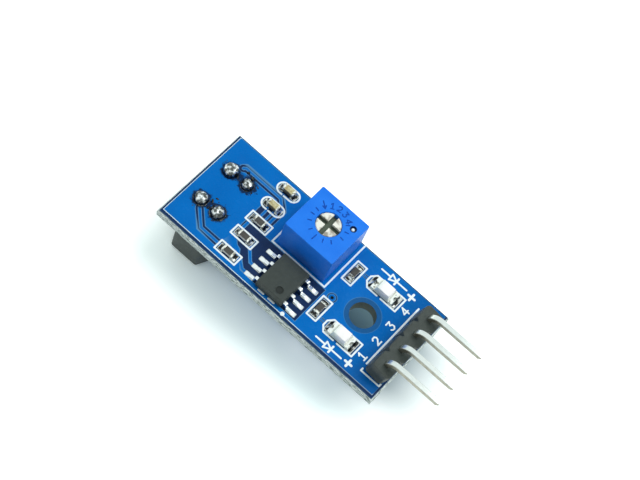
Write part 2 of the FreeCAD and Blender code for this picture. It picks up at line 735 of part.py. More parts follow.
def trimmer_housing():
    body = place(new_body("trimmer_housing"), TRIMMER_X, "Sizes.trimmer_offset")
    outline = sketch_on(body, "case_outline", level="Sizes.trimmer_standoff")
    draw(outline, rectangle("Sizes.trimmer_width", "Sizes.trimmer_depth"))
    feature(body, "Pad", outline, "case", Length="Sizes.trimmer_height")
    feet = sketch_on(body, "feet_outline", level="Sizes.trimmer_standoff")
    foot = "Sizes.trimmer_foot"
    for right in (-1, 1):
        for back in (-1, 1):
            draw(feet, rectangle(foot, "Sizes.trimmer_wall", f"{right} * (Sizes.trimmer_width - {foot}) / 2",
                                 f"{back} * (Sizes.trimmer_depth - Sizes.trimmer_wall) / 2"))
    standoffs = feature(body, "Pad", feet, "feet", Length="Sizes.trimmer_standoff")
    standoffs.Reversed = True
    cavity = sketch_on(body, "cavity_outline", level="Sizes.trimmer_standoff")
    draw(cavity, rectangle(CAVITY_WIDTH, CAVITY_DEPTH))
    hollow = feature(body, "Pocket", cavity, "cavity", Length=f"{ROOF} - Sizes.trimmer_standoff")
    hollow.Reversed = True
    top = sketch_on(body, "top_layout", level=TRIMMER_TOP)
    draw_circle(top, "Sizes.rotor_shift", "Sizes.rotor_offset",
                "Sizes.rotor_diameter / 2 + Sizes.rotor_play")
    feature(body, "Pocket", top, "rotor_bore", Length="Sizes.trimmer_roof")
    pip = sketch_on(body, "pip_layout", level=TRIMMER_TOP)
    draw_circle(pip, "Sizes.trimmer_width / 2 - Sizes.trimmer_pip_to_side",
                "Sizes.trimmer_depth / 2 - Sizes.trimmer_pip_to_rear", "Sizes.trimmer_pip / 2")
    feature(body, "Pocket", pip, "pip", Length="Sizes.trimmer_pip_depth")
    return body


def place_on_rotor(item):
    return place(item, f"{TRIMMER_X} + Sizes.rotor_shift", "Sizes.trimmer_offset + Sizes.rotor_offset")


def trimmer_rotor():
    body = place_on_rotor(new_body("trimmer_rotor"))
    radius = "(Sizes.rotor_diameter / 2)"
    flange = "(Sizes.rotor_diameter / 2 + Sizes.flange_width)"
    top = f"({TRIMMER_TOP} - Sizes.rotor_recess)"
    section = sketch_on(body, "half_section", "XZ_Plane")
    draw(section, [("0", FLANGE_BOTTOM), (flange, FLANGE_BOTTOM), (flange, FLANGE_TOP),
                   (radius, FLANGE_TOP), (radius, f"{top} - Sizes.rotor_bevel"),
                   (f"{radius} - Sizes.rotor_bevel", top), ("0", top)])
    revolved(body, section, "turned_form")
    cross = sketch_on(body, "cross_layout", level=top)
    arm = "(Sizes.slot_length / 2)"
    half = "(Sizes.slot_width / 2)"
    draw(cross, [(f"-{arm}", f"-{half}"), (f"-{half}", f"-{half}"), (f"-{half}", f"-{arm}"),
                 (half, f"-{arm}"), (half, f"-{half}"), (arm, f"-{half}"), (arm, half), (half, half),
                 (half, arm),
                 (f"-{half}", arm), (f"-{half}", half), (f"-{arm}", half)])
    feature(body, "Pocket", cross, "cross_slot", Length="Sizes.slot_depth")
    return body


def trimmer_wiper():
    body = place_on_rotor(new_body("trimmer_wiper"))
    spring = sketch_on(body, "spring_outline", level=f"{FLANGE_BOTTOM} - Sizes.wiper_thickness")
    reach = "(Sizes.track_radius + Sizes.wiper_width / 2)"
    draw(spring, rectangle(f"2 * {reach}", "Sizes.wiper_width"))
    feature(body, "Pad", spring, "spring", Length="Sizes.wiper_thickness")
    contacts = sketch_on(body, "contact_outline", level=f"{FLANGE_BOTTOM} - Sizes.wiper_thickness")
    for side in (-1, 1):
        draw(contacts, rectangle("Sizes.wiper_thickness", "Sizes.wiper_width",
                                 f"{side} * Sizes.track_radius"))
    fingers = feature(body, "Pad", contacts, "contacts", Length="Sizes.wiper_drop")
    fingers.Reversed = True
    return body


def plate_with_pin_holes(label, level, thickness):
    """A plate that fills the case's cavity and lets the three pins through."""
    body = place(new_body(label), TRIMMER_X, "Sizes.trimmer_offset", level)
    outline = sketch_on(body, "plate_outline")
    draw(outline, rectangle(f"{CAVITY_WIDTH} - 2 * Sizes.trimmer_pin_play",
                            f"{CAVITY_DEPTH} - 2 * Sizes.trimmer_pin_play"))
    hole = "(Sizes.trimmer_pin + 2 * Sizes.trimmer_pin_play)"
    for x, y in ((f"-{TRIMMER_PIN_X}", "-Sizes.trimmer_pin_row"), ("0", "Sizes.trimmer_pin_row"),
                 (TRIMMER_PIN_X, "-Sizes.trimmer_pin_row")):
        draw(outline, rectangle(hole, hole, x, y))
    feature(body, "Pad", outline, "plate", Length=thickness)
    return body


def trimmer_pin(label, hole):
    x, y = hole
    body = place(new_body(label), x, y, f"{UNDERSIDE} - Sizes.trimmer_pin_tail")
    section = sketch_on(body, "wire_section")
    draw(section, rectangle("Sizes.trimmer_pin", "Sizes.trimmer_pin"))
    feature(body, "Pad", section, "wire", Length=f"{TRACK} + Sizes.board_thickness + Sizes.trimmer_pin_tail")
    return body


def octagon(radius):
    """Corners of an octagon that surrounds a circle."""
    reach = f"({radius} / cos(22.5))"
    angles = [45 * side + 22.5 for side in range(8)]
    return [(f"{reach} * cos({angle})", f"{reach} * sin({angle})") for angle in angles]


def underside_joint(name, x, y, hole, neck, room):
    """A cone of solder on an eight-sided pad below the board, with room for the wire in it."""
    base = free_sketch(f"{name}_base", x, y, UNDERSIDE)
    draw(base, octagon(f"({hole} + Sizes.ring_width)"))
    tip = free_sketch(f"{name}_tip", x, y, f"{UNDERSIDE} - Sizes.joint_height")
    draw(tip, octagon(neck))
    cone = doc.addObject("Part::Loft", f"{name}_cone")
    cone.Sections = [base, tip]
    cone.Solid = True
    cone.Ruled = True
    return cut(name, cone, room)


def trimmer_solder():
    joints = []
    wire = "Sizes.trimmer_pin"
    for number, (x, y) in enumerate(TRIMMER_HOLES, start=1):
        room = block(f"trimmer_wire_room_{number}", wire, wire, "2 * Sizes.joint_height", x, y,
                     f"{UNDERSIDE} - 1.5 * Sizes.joint_height")
        neck = "(Sizes.trimmer_pin * sqrt(2) / 2 + Sizes.joint_neck)"
        joints.append(underside_joint(f"trimmer_joint_{number}", x, y, TRIMMER_HOLE, neck, room))
    return group("trimmer_solder", joints)


parts.append(trimmer_housing())
parts.append(trimmer_rotor())
parts.append(trimmer_wiper())
parts.append(plate_with_pin_holes("trimmer_substrate", PLATE_BOTTOM, "Sizes.substrate_thickness"))
POTTING_BOTTOM = "(Sizes.trimmer_standoff + Sizes.potting_recess)"
parts.append(plate_with_pin_holes("trimmer_potting", POTTING_BOTTOM, f"{PLATE_BOTTOM} - {POTTING_BOTTOM}"))
for number, hole in enumerate(TRIMMER_HOLES, start=1):
    parts.append(trimmer_pin(f"trimmer_pin_{number}", hole))
parts.append(trimmer_solder())


# Header: four cells in one strip that leans outwards on its lower edge, and four bent pins
HEADER_LIFT = "(Sizes.header_width / 2 * sin(Sizes.lean_angle))"
HEADER_FOOT_X = f"({HEADER_X} + ({HEADER_LIFT} + Sizes.board_thickness / 2) * tan(Sizes.lean_angle))"


def leaning(item, y="0"):
    """Stands a header piece in the strip's own leaning frame."""
    place(item, HEADER_FOOT_X, y, HEADER_LIFT, Rotation(Vector(0, 1, 0), 1))
    item.setExpression(".Placement.Rotation.Angle", "Sizes.lean_angle")
    return item


def header_body():
    body = leaning(new_body("header_body"))
    edge = "(Sizes.header_width / 2)"
    notch = "Sizes.header_notch"
    going_back = []
    coming_forward = []
    for cell in ROW_OF_FOUR:
        front = f"(({cell} - 0.5) * Sizes.header_pitch)"
        back = f"(({cell} + 0.5) * Sizes.header_pitch)"
        going_back += [(f"{edge} - {notch}", front), (edge, f"{front} + {notch}"),
                       (edge, f"{back} - {notch}")]
        coming_forward += [(f"-{edge}", f"{front} + {notch}"), (f"-{edge}", f"{back} - {notch}"),
                           (f"-{edge} + {notch}", back)]
    rear = "(2 * Sizes.header_pitch)"
    outline = sketch_on(body, "cell_outline")
    corners = going_back + [(f"{edge} - {notch}", rear)] + coming_forward[::-1]
    corners.append((f"-{edge} + {notch}", f"-{rear}"))
    draw(outline, corners)
    feature(body, "Pad", outline, "strip", Length="Sizes.header_height")
    slots = sketch_on(body, "pin_slots", level="Sizes.header_height")
    for place_in_row in ROW_OF_FOUR:
        draw(slots, rectangle("Sizes.pin_width", "Sizes.pin_width",
                              y=f"{place_in_row} * Sizes.header_pitch"))
    feature(body, "Pocket", slots, "pin_passages", Length="Sizes.header_height")
    return body


def header_pin(label, place_in_row):
    body = leaning(new_body(label), f"{place_in_row} * Sizes.header_pitch")
    start = "(Sizes.header_height + Sizes.pin_rise)"
    turn_x = "(Sizes.pin_bend * (1 - sin(Sizes.lean_angle)))"
    turn_z = f"({start} + Sizes.pin_bend * cos(Sizes.lean_angle))"
    end_x = f"({turn_x} + Sizes.pin_reach * cos(Sizes.lean_angle))"
    end_z = f"({turn_z} + Sizes.pin_reach * sin(Sizes.lean_angle))"
    path = sketch_on(body, "bent_path", "XZ_Plane")
    draw(path, [("0", "-Sizes.pin_tail"), ("0", start), (turn_x, turn_z, "-Sizes.pin_bend"), (end_x, end_z)],
         closed=False)
    square = rectangle("Sizes.pin_width", "Sizes.pin_width")
    section = draw(sketch_on(body, "wire_section", level="-Sizes.pin_tail"), square)
    pipe = body.newObject("PartDesign::AdditivePipe", "wire")
    pipe.Profile = section
    pipe.Spine = path
    lower_end = draw(sketch_on(body, "lower_end", level="-Sizes.pin_tail"), square)
    lower_point = feature(body, "Pad", lower_end, "lower_point", Length="Sizes.pin_tip",
                          TaperAngle="-Sizes.pin_tip_angle")
    lower_point.Reversed = True
    outer_end = sketch_on(body, "outer_end", "YZ_Plane")
    outer_end.AttachmentOffset = Placement(Vector(), Rotation(Vector(-1, 0, 0), 1))
    outer_end.setExpression(".AttachmentOffset.Rotation.Angle", "Sizes.lean_angle")
    outer_end.setExpression(".AttachmentOffset.Base.y", end_z)
    outer_end.setExpression(".AttachmentOffset.Base.z", end_x)
    draw(outer_end, square)
    feature(body, "Pad", outer_end, "outer_point", Length="Sizes.pin_tip", TaperAngle="-Sizes.pin_tip_angle")
    return body


def header_solder():
    joints = []
    slant = "(Sizes.board_thickness / 2 + Sizes.joint_height) * tan(Sizes.lean_angle)"
    neck = f"(Sizes.pin_width / 2 + {slant} + Sizes.joint_neck)"
    for number, (x, y) in enumerate(HEADER_HOLES, start=1):
        room = bind(doc.addObject("Part::Box", f"header_wire_room_{number}"), Length="Sizes.pin_width",
                    Width="Sizes.pin_width", Height="Sizes.header_height + 2 * Sizes.pin_tail")
        place(room, turn=Rotation(Vector(0, 1, 0), 1))
        room.setExpression(".Placement.Rotation.Angle", "Sizes.lean_angle")
        below = "(2 * Sizes.pin_tail)"
        half = "(Sizes.pin_width / 2)"
        lean = "Sizes.lean_angle"
        room.setExpression(".Placement.Base.x",
                           f"{HEADER_FOOT_X} - {half} * cos({lean}) - {below} * sin({lean})")
        room.setExpression(".Placement.Base.y", f"{y} - {half}")
        room.setExpression(".Placement.Base.z",
                           f"{HEADER_LIFT} + {half} * sin({lean}) - {below} * cos({lean})")
        joints.append(underside_joint(f"header_joint_{number}", x, y, HEADER_HOLE, neck, room))
    return group("header_solder", joints)


parts.append(header_body())
for number, place_in_row in enumerate(ROW_OF_FOUR, start=1):
    parts.append(header_pin(f"header_pin_{number}", place_in_row))
parts.append(header_solder())


# Chips: a ceramic core, metal caps that wrap its ends, and solder fillets
def chip_body(label, chip, height, coat):
    x, y, turned = chip
    body = place(new_body(label), x, y, PAD_TOP, QUARTER_TURN if turned else None)
    core = sketch_on(body, "core_outline", level="Sizes.chip_skin")
    width = "Sizes.chip_width - 2 * Sizes.chip_skin"
    draw(core, rectangle("Sizes.chip_length - 2 * Sizes.chip_skin", width))
    feature(body, "Pad", core, "core", Length=f"{height} - 2 * Sizes.chip_skin")
    if coat:
        coating = sketch_on(body, "coat_outline", level=f"{height} - Sizes.chip_skin")
        draw(coating, rectangle("Sizes.chip_length - 2 * Sizes.chip_band", width))
        feature(body, "Pad", coating, "coat", Length=coat)
    return body


def end_caps(label, chip, length, width, height, band, core_length, core_width, core_height, core_level):
    """Two metal caps: the chip's outer block less its middle and its core."""
    x, y, turned = chip
    whole = block(f"{label}_whole", length, width, height)
    middle = block(f"{label}_middle", f"{length} - 2 * {band}", f"2 * {width}", f"2 * {height}")
    place(middle, f"-({length}) / 2 + {band}", f"-({width})", f"-({height}) / 2")
    core = block(f"{label}_core_room", core_length, core_width, core_height, z=core_level)
    ends = cut(f"{label}_ends", whole, middle)
    caps = cut(label, ends, core)
    caps.Label = label
    return place(caps, x, y, PAD_TOP, QUARTER_TURN if turned else None)


def chip(label, where, height, coat=None):
    parts.append(chip_body(f"{label}_body", where, height, coat))
    core_length = "(Sizes.chip_length - 2 * Sizes.chip_skin)"
    core_width = "(Sizes.chip_width - 2 * Sizes.chip_skin)"
    parts.append(end_caps(f"{label}_ends", where, "Sizes.chip_length", "Sizes.chip_width", height,
                          "Sizes.chip_band", core_length, core_width, f"({height} - 2 * Sizes.chip_skin)",
                          "Sizes.chip_skin"))


for number, where in enumerate(RESISTORS, start=1):
    chip(f"resistor_{number}", where, "Sizes.resistor_height", "Sizes.resistor_coat")
for number, where in enumerate(CAPACITORS, start=1):
    chip(f"capacitor_{number}", where, "Sizes.capacitor_height")


# Indicator LEDs: a flat base with a half-round notch at each end, a clear moulded lens and plated ends
def led_base(label, led):
    x, y, _ = led
    body = place(new_body(label), x, y, PAD_TOP)
    end = "(Sizes.led_length / 2 - Sizes.chip_skin)"
    half = "(Sizes.led_width / 2)"
    notch = "Sizes.led_notch"
    outline = sketch_on(body, "base_outline", level="Sizes.chip_skin")
    draw(outline, [(end, f"-{half}"), (end, f"-{notch}"), (end, notch, f"-{notch}"), (end, half),
                   (f"-{end}", half), (f"-{end}", notch), (f"-{end}", f"-{notch}", f"-{notch}"),
                   (f"-{end}", f"-{half}")])
    feature(body, "Pad", outline, "base", Length="Sizes.led_base - 2 * Sizes.chip_skin")
    return body


def led_lens(label, led):
    x, y, _ = led
    body = place(new_body(label), x, y, "Sizes.pad_thickness + Sizes.led_base - Sizes.chip_skin")
    outline = sketch_on(body, "lens_outline")
    draw(outline, rectangle("Sizes.led_lens_length", "Sizes.led_width"))
    feature(body, "Pad", outline, "lens", Length="Sizes.led_lens_height", TaperAngle="-Sizes.led_lens_draft")
    return body


def led_ends(label, led):
    x, y, _ = led
    end = "(Sizes.led_length / 2)"
    half = "(Sizes.led_width / 2)"
    skin = "Sizes.chip_skin"
    notch = "Sizes.led_notch"
    inner = f"({notch} + {skin})"
    inside = f"({end} - Sizes.led_band)"
    caps = []
    for number, turn in enumerate((None, HALF_TURN), start=1):
        cap = free_sketch(f"{label}_cap_{number}_outline", x, y, PAD_TOP, turn)
        draw(cap, [(inside, f"-{half}"), (end, f"-{half}"), (end, f"-({notch} - {skin})"),
                   (end, f"({notch} - {skin})", f"-({notch} - {skin})"), (end, half), (inside, half)])
        whole = extruded(f"{label}_cap_{number}_whole", cap, "Sizes.led_base")
        core = free_sketch(f"{label}_core_{number}_outline", x, y, f"{PAD_TOP} + {skin}", turn)
        core_end = f"({end} - {skin})"
        draw(core, [("0", f"-{half}"), (core_end, f"-{half}"), (core_end, f"-{notch}"),
                    (core_end, notch, f"-{notch}"), (core_end, half), ("0", half)])
        room = extruded(f"{label}_core_{number}", core, f"Sizes.led_base - 2 * {skin}")
        caps.append(cut(f"{label}_cap_{number}", whole, room))
    return group(label, caps)


for number, led in enumerate(LEDS, start=1):
    parts.append(led_base(f"led_{number}_base", led))
    parts.append(led_lens(f"led_{number}_lens", led))
    parts.append(led_ends(f"led_{number}_ends", led))


def chip_solder():
    fillets = []
    chips = [(where, "(Sizes.chip_length / 2)", "Sizes.chip_width") for where in RESISTORS + CAPACITORS]
    chips += [(where, "(Sizes.led_length / 2)", "Sizes.led_width") for where in LEDS]
    for (x, y, turned), start, width in chips:
        for side in (0, 180):
            turn = Rotation(Vector(0, 0, 1), side + (90 if turned else 0))
            fillets.append(toe_fillet(f"chip_fillet_{len(fillets) + 1}", x, y, start,
                                      "Sizes.chip_solder_reach", "Sizes.chip_solder_height", width, turn))
    return group("chip_solder", fillets)


parts.append(chip_solder())

doc.recompute()
for item in doc.Objects:
    if "Invalid" in item.State or "Error" in item.State:
        raise RuntimeError(f"{item.Label} failed: {item.State}")
for part in parts:
    if part.Shape.isNull() or not part.Shape.isValid() or not part.Shape.Solids:
        raise RuntimeError(f"{part.Label} has no valid solid")

os.makedirs("parts", exist_ok=True)
for part in parts:
    part.Shape.exportStep(f"parts/{part.Label}.step")
    print(part.Label, len(part.Shape.Solids), round(part.Shape.Volume, 3))
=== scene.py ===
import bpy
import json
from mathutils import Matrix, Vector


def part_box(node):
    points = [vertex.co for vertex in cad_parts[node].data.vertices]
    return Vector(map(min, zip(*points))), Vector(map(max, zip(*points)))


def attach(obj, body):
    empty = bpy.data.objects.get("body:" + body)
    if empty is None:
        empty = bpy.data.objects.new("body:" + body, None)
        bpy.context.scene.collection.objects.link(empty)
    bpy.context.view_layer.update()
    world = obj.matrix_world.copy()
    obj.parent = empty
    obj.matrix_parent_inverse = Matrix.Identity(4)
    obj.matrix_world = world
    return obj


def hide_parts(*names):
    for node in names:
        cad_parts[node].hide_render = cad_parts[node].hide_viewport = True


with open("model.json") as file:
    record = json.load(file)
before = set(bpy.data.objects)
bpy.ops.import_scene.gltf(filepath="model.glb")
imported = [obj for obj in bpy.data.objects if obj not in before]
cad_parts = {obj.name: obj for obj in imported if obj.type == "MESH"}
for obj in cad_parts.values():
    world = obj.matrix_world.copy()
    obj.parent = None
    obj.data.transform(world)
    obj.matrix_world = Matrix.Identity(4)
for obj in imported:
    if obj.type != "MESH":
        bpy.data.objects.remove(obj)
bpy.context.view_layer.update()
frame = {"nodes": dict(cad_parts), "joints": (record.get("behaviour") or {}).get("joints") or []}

import json
import math
import random

import bmesh
import bpy
from mathutils import Matrix, Quaternion, Vector, noise
from mathutils.geometry import delaunay_2d_cdt

# Camera: it looks steeply down on the module's front long side, from a hand's length away.
# It is turned about its own line of sight, so that the board lies across the picture.
STAND = Vector((0.021381, -0.091654, 0.187553))
AIM = Vector((-0.009473, 0.003544, 0.0))
CAMERA_TURN = math.radians(25.385)
camera = bpy.data.objects.new("camera", bpy.data.cameras.new("camera"))
camera.data.lens = 105.61
camera.data.sensor_width = 36.0
camera.data.clip_start = 0.01
bpy.context.scene.collection.objects.link(camera)
bpy.context.scene.camera = camera
camera.location = STAND
camera.rotation_mode = "QUATERNION"
camera.rotation_quaternion = (AIM - STAND).to_track_quat("-Z", "Y") @ Quaternion((0, 0, 1), CAMERA_TURN)


# Floor and light: a white table under the module, one wide lamp above its rear right side with
# two weak ones to fill in, and a pale room all round. The table shows as white except in shadow.
class Tone:
    """A number or colour that varies over a surface. Arithmetic on it adds the Math nodes."""

    def __init__(self, nodes, socket):
        self.nodes = nodes
        self.socket = socket

    def maths(self, operation, first, second=0.0, clamp=False):
        settings = {"operation": operation, "use_clamp": clamp}
        return self.nodes.node("ShaderNodeMath", settings, {0: first, 1: second})

    def __add__(self, other):
        return self.maths("ADD", self, other)

    def __sub__(self, other):
        return self.maths("SUBTRACT", self, other)

    def __rsub__(self, other):
        return self.maths("SUBTRACT", other, self)

    def __mul__(self, other):
        return self.maths("MULTIPLY", self, other)

    def __truediv__(self, other):
        return self.maths("DIVIDE", self, other)

    __radd__ = __add__
    __rmul__ = __mul__

    def clipped(self):
        return self.maths("ADD", self, 0.0, clamp=True)

    def size(self):
        return self.maths("ABSOLUTE", self)

    def above(self, low, high):
        """0 up to low, 1 from high on, and a soft step between them."""
        settings = {"interpolation_type": "SMOOTHSTEP", "clamp": True}
        inputs = {"Value": self, "From Min": low, "From Max": high}
        return self.nodes.node("ShaderNodeMapRange", settings, inputs)


class Nodes:
    """A node tree, to which one method adds every node."""

    def __init__(self, tree):
        self.tree = tree

    def feed(self, socket, given):
        if isinstance(given, Tone):
            self.tree.links.new(given.socket, socket)
        else:
            socket.default_value = given

    def node(self, kind, settings=None, inputs=None, output=0):
        added = self.tree.nodes.new(kind)
        for setting, choice in (settings or {}).items():
            setattr(added, setting, choice)
        for socket, given in (inputs or {}).items():
            self.feed(added.inputs[socket], given)
        return Tone(self, added.outputs[output])

    def looked_at(self):
        """1 for a ray of the camera, or of gloss or glass that shows the surface, and 0 for light."""
        rays = ("Camera", "Glossy", "Transmission")
        return sum(self.node("ShaderNodeLightPath", output=f"Is {ray} Ray") for ray in rays).clipped()


class Finish(Nodes):
    """A surface finish whose patterns are laid out in millimetres."""

    def __init__(self, name, colour, roughness=0.5, **fixed):
        self.material = bpy.data.materials.new(name)
        self.material.use_nodes = True
        super().__init__(self.material.node_tree)
        self.shader = self.tree.nodes["Principled BSDF"]
        for socket, number in fixed.items():
            self.shader.inputs[socket.replace("_", " ")].default_value = number
        self.colour(colour)
        self.roughness(roughness)
        self.layout = None

    def place(self, stretch=(1, 1, 1)):
        """Where a point is on the part, in millimetres, with each axis stretched."""
        if self.layout is None:
            self.layout = self.node("ShaderNodeTexCoord", output="Object")
        scale = tuple(1000 * share for share in stretch)
        return self.node("ShaderNodeVectorMath", {"operation": "MULTIPLY"}, {0: self.layout, 1: scale})

    def axis(self, letter):
        return self.node("ShaderNodeSeparateXYZ", inputs={0: self.place()}, output=letter)

    def facing(self, letter):
        """How far the surface faces along an axis, from -1 to 1."""
        normal = self.node("ShaderNodeNewGeometry", output="Normal")
        return self.node("ShaderNodeSeparateXYZ", inputs={0: normal}, output=letter)

    def away_from(self, x, y):
        """Distance from an upright line, in millimetres."""
        inputs = {0: self.place((1, 1, 0)), 1: (x, y, 0)}
        return self.node("ShaderNodeVectorMath", {"operation": "DISTANCE"}, inputs, output="Value")

    def grain(self, size, detail=3.0, stretch=(1, 1, 1)):
        """Soft noise from 0 to 1 whose patches are about that many millimetres."""
        inputs = {"Vector": self.place(stretch), "Scale": 1 / size, "Detail": detail}
        return self.node("ShaderNodeTexNoise", inputs=inputs)

    def mix(self, first, second, share):
        settings = {"data_type": "RGBA", "clamp_factor": True}
        return self.node("ShaderNodeMix", settings, {0: share, 6: first, 7: second}, output=2)

    def colour(self, given):
        self.feed(self.shader.inputs["Base Color"], given)

    def mottled(self, dark, light, size, detail=3.0):
        """Soft patches of two colours, each about that many millimetres."""
        self.colour(self.mix(dark, light, self.grain(size, detail)))

    def roughness(self, given):
        self.feed(self.shader.inputs["Roughness"], given)

    def relief(self, height, depth):
        """Bumps of that height pattern, depth millimetres high."""
        bump = self.node("ShaderNodeBump", inputs={"Height": height, "Distance": depth / 1000})
        self.feed(self.shader.inputs["Normal"], bump)


def paint(red, green, blue):
    """A colour as a screen shows it, 0 to 255, as the shader's linear colour."""
    def linear(level):
        share = level / 255
        return share / 12.92 if share <= 0.04045 else ((share + 0.055) / 1.055) ** 2.4
    return (linear(red), linear(green), linear(blue), 1.0)


def object_from(name, shape, scale=0.001):
    """A Blender object from a mesh that was drawn in millimetres."""
    shape.transform(Matrix.Scale(scale, 4))
    mesh = bpy.data.meshes.new(name)
    shape.to_mesh(mesh)
    shape.free()
    made = bpy.data.objects.new(name, mesh)
    bpy.context.scene.collection.objects.link(made)
    return made


def span(node):
    """A node's lowest and highest corner, in millimetres."""
    return [[round(1000 * place, 3) for place in corner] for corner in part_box(node)]


def middle(node):
    """The middle of a node seen from above, in millimetres."""
    return tuple(round((low + high) / 2, 3) for low, high in zip(*span(node)))[:2]


# The module stands on the sensor's face. The table's shadow is partly painted by place: a painted shadow
# is darkest along a strip beside and under the board, and past y of -5 a weak painted glow lifts it again.
# The camera also sees a painted glow that follows ambient occlusion, as painted fill light.
TABLE_GAP = 0.06
TABLE_REACH = 1500
table_white = Finish("table_white", (0.86, 0.86, 0.86, 1), 0.6, Specular_IOR_Level=0.1, Emission_Strength=1.0)
shown = table_white.looked_at()
open_sky = table_white.node("ShaderNodeAmbientOcclusion", {"samples": 16}, {"Distance": 0.03}, output="AO")
along, across = table_white.axis("X"), table_white.axis("Y")
shade = 1 - (across - 3.25).size().above(2.75, 7.75)
shade = shade * (1 - along.above(2, 15)) * (1 - (-18 - along).above(0, 9))
lit = 1 - shade
painted_lift = (0 - across).above(5, 10) * along.above(-16, 2) * 0.4
# The table is painted dark where shade is 1, as painted shadow under and beside the board.
painted_shade_colour = table_white.mix(paint(104, 132, 138), paint(250, 250, 250), lit)
table_white.colour(table_white.mix(paint(215, 219, 219), painted_shade_colour, shown))
# Painted light: a glow seen by the camera, from ambient occlusion, the painted shadow and the painted lift.
glow = table_white.mix((0, 0, 0, 1), (0.50, 0.62, 0.58, 1), shown * (open_sky * lit + painted_lift))
table_white.feed(table_white.shader.inputs["Emission Color"], glow)
table = bmesh.new()
bmesh.ops.create_grid(table, x_segments=1, y_segments=1, size=TABLE_REACH)
bmesh.ops.translate(table, verts=table.verts, vec=(0, 0, span("sensor_housing")[0][2] - TABLE_GAP))
floor = object_from("floor", table)
floor.data.materials.append(table_white.material)

room = bpy.data.worlds.new("room")
room.use_nodes = True
bpy.context.scene.world = room
air = Nodes(room.node_tree)
backdrop = room.node_tree.nodes["Background"]
air.feed(backdrop.inputs["Color"], (0.90, 1.0, 1.02, 1))
air.feed(backdrop.inputs["Strength"], air.looked_at() * 0.58 + 0.42)
bpy.context.scene.view_settings.view_transform = "Standard"

for name, spot, size, power in (("rear_lamp", (0.09, 0.146, 0.446), 0.32, 1.4),
                                ("left_lamp", (-0.20, -0.06, 0.34), 0.30, 0.2),
                                ("side_lamp", (0.20, 0.15, 0.35), 0.12, 0.2)):
    lamp = bpy.data.lights.new(name, "AREA")
    lamp.shape = "DISK"
    lamp.size = size
    lamp.energy = power
    lamp.color = (1.0, 0.975, 0.96)
    holder = bpy.data.objects.new(name, lamp)
    holder.location = spot
    holder.visible_glossy = name == "side_lamp"
    holder.rotation_euler = (-Vector(spot)).to_track_quat("-Z", "Y").to_euler()
    bpy.context.scene.collection.objects.link(holder)


# Circuit board: glass-fibre laminate, scored and snapped out of a panel, so its edge is a rough
# web between two bevels. Copper stands under the blue mask, and shows through it as raised areas.
def finished(name, shape, finishes, body="module", sharp=35):
    """A piece from its mesh in millimetres. One with a node's name is shown in that node's place."""
    is_node = name in frame["nodes"]
    made = object_from(f"{name}_dressed" if is_node else name, shape)
    for finish in finishes:
        made.data.materials.append(finish.material)
    made.data.polygons.foreach_set("use_smooth", [True] * len(made.data.polygons))
    made.data.set_sharp_from_angle(angle=math.radians(sharp))
    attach(made, body)
    if is_node:
        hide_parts(name)


def rectangle(x_low, x_high, y_low, y_high):
    return [(x_low, y_low), (x_high, y_low), (x_high, y_high), (x_low, y_high)]


def oblong(chip, half_length, half_width):
    """A rectangle round a chip, which lies along the board or is turned across it."""
    x, y, turned = chip
    along, across = (half_width, half_length) if turned else (half_length, half_width)
    return rectangle(x - along, x + along, y - across, y + across)


def circle(x, y, radius, steps=32, start=0.0):
    turns = [start + 2 * math.pi * step / steps for step in range(steps)]
    return [(x + radius * math.cos(turn), y + radius * math.sin(turn)) for turn in turns]


def stroke(path, half, steps=6):
    """The outline of a line of that half width, with round ends."""
    points = [Vector(point) for point in path]
    sides = []
    for one, two in zip(points, points[1:]):
        along = (two - one).normalized()
        sides.append(Vector((-along.y, along.x)))
    left, right = [], []
    for number, point in enumerate(points[1:-1], start=1):
        mean = (sides[number - 1] + sides[number]).normalized()
        mitre = mean * half / mean.dot(sides[number])
        left.append(point + mitre)
        right.append(point - mitre)

    def cap(centre, side):
        start = math.atan2(side.y, side.x)
        turns = [start - math.pi * step / steps for step in range(steps + 1)]
        return [centre + half * Vector((math.cos(turn), math.sin(turn))) for turn in turns]
    around = cap(points[-1], sides[-1]) + right[::-1] + cap(points[0], -sides[0]) + left
    return [tuple(point) for point in around]


def sides_of(polygon):
    """Each side's start and end, all the way round."""
    return zip(polygon, polygon[1:] + polygon[:1])


def anticlockwise(polygon):
    turn = sum(x1 * y2 - x2 * y1 for (x1, y1), (x2, y2) in sides_of(polygon))
    return polygon if turn > 0 else polygon[::-1]


def cut_sheet(outlines, holes=(), guides=()):
    """Triangles over the outlines less the holes. Guides only add edges to the sheet."""
    points, faces = [], []
    for outline in [*outlines, *holes, *guides]:
        faces.append(list(range(len(points), len(points) + len(outline))))
        points += [Vector(point) for point in anticlockwise(outline)]
    points, _, triangles, _, _, sources = delaunay_2d_cdt(points, [], faces, 1, 1e-4, True)
    wanted = set(range(len(outlines)))
    unwanted = set(range(len(outlines), len(outlines) + len(holes)))
    kept = []
    for triangle, source in zip(triangles, sources):
        if wanted.intersection(source) and not unwanted.intersection(source):
            kept.append(triangle)
    return points, kept


def distance_to(path, x, y):
    best = math.inf
    for (x1, y1), (x2, y2) in zip(path, path[1:]):
        dx, dy = x2 - x1, y2 - y1
        share = max(0.0, min(1.0, ((x - x1) * dx + (y - y1) * dy) / (dx * dx + dy * dy)))
        best = min(best, math.hypot(x - x1 - share * dx, y - y1 - share * dy))
    return best


def depth_in(polygon, x, y):
    """How deep a point lies in a convex outline whose corners run anticlockwise."""
    depth = math.inf
    for (x1, y1), (x2, y2) in sides_of(polygon):
        dx, dy = x2 - x1, y2 - y1
        depth = min(depth, (dx * (y - y1) - dy * (x - x1)) / math.hypot(dx, dy))
    return depth


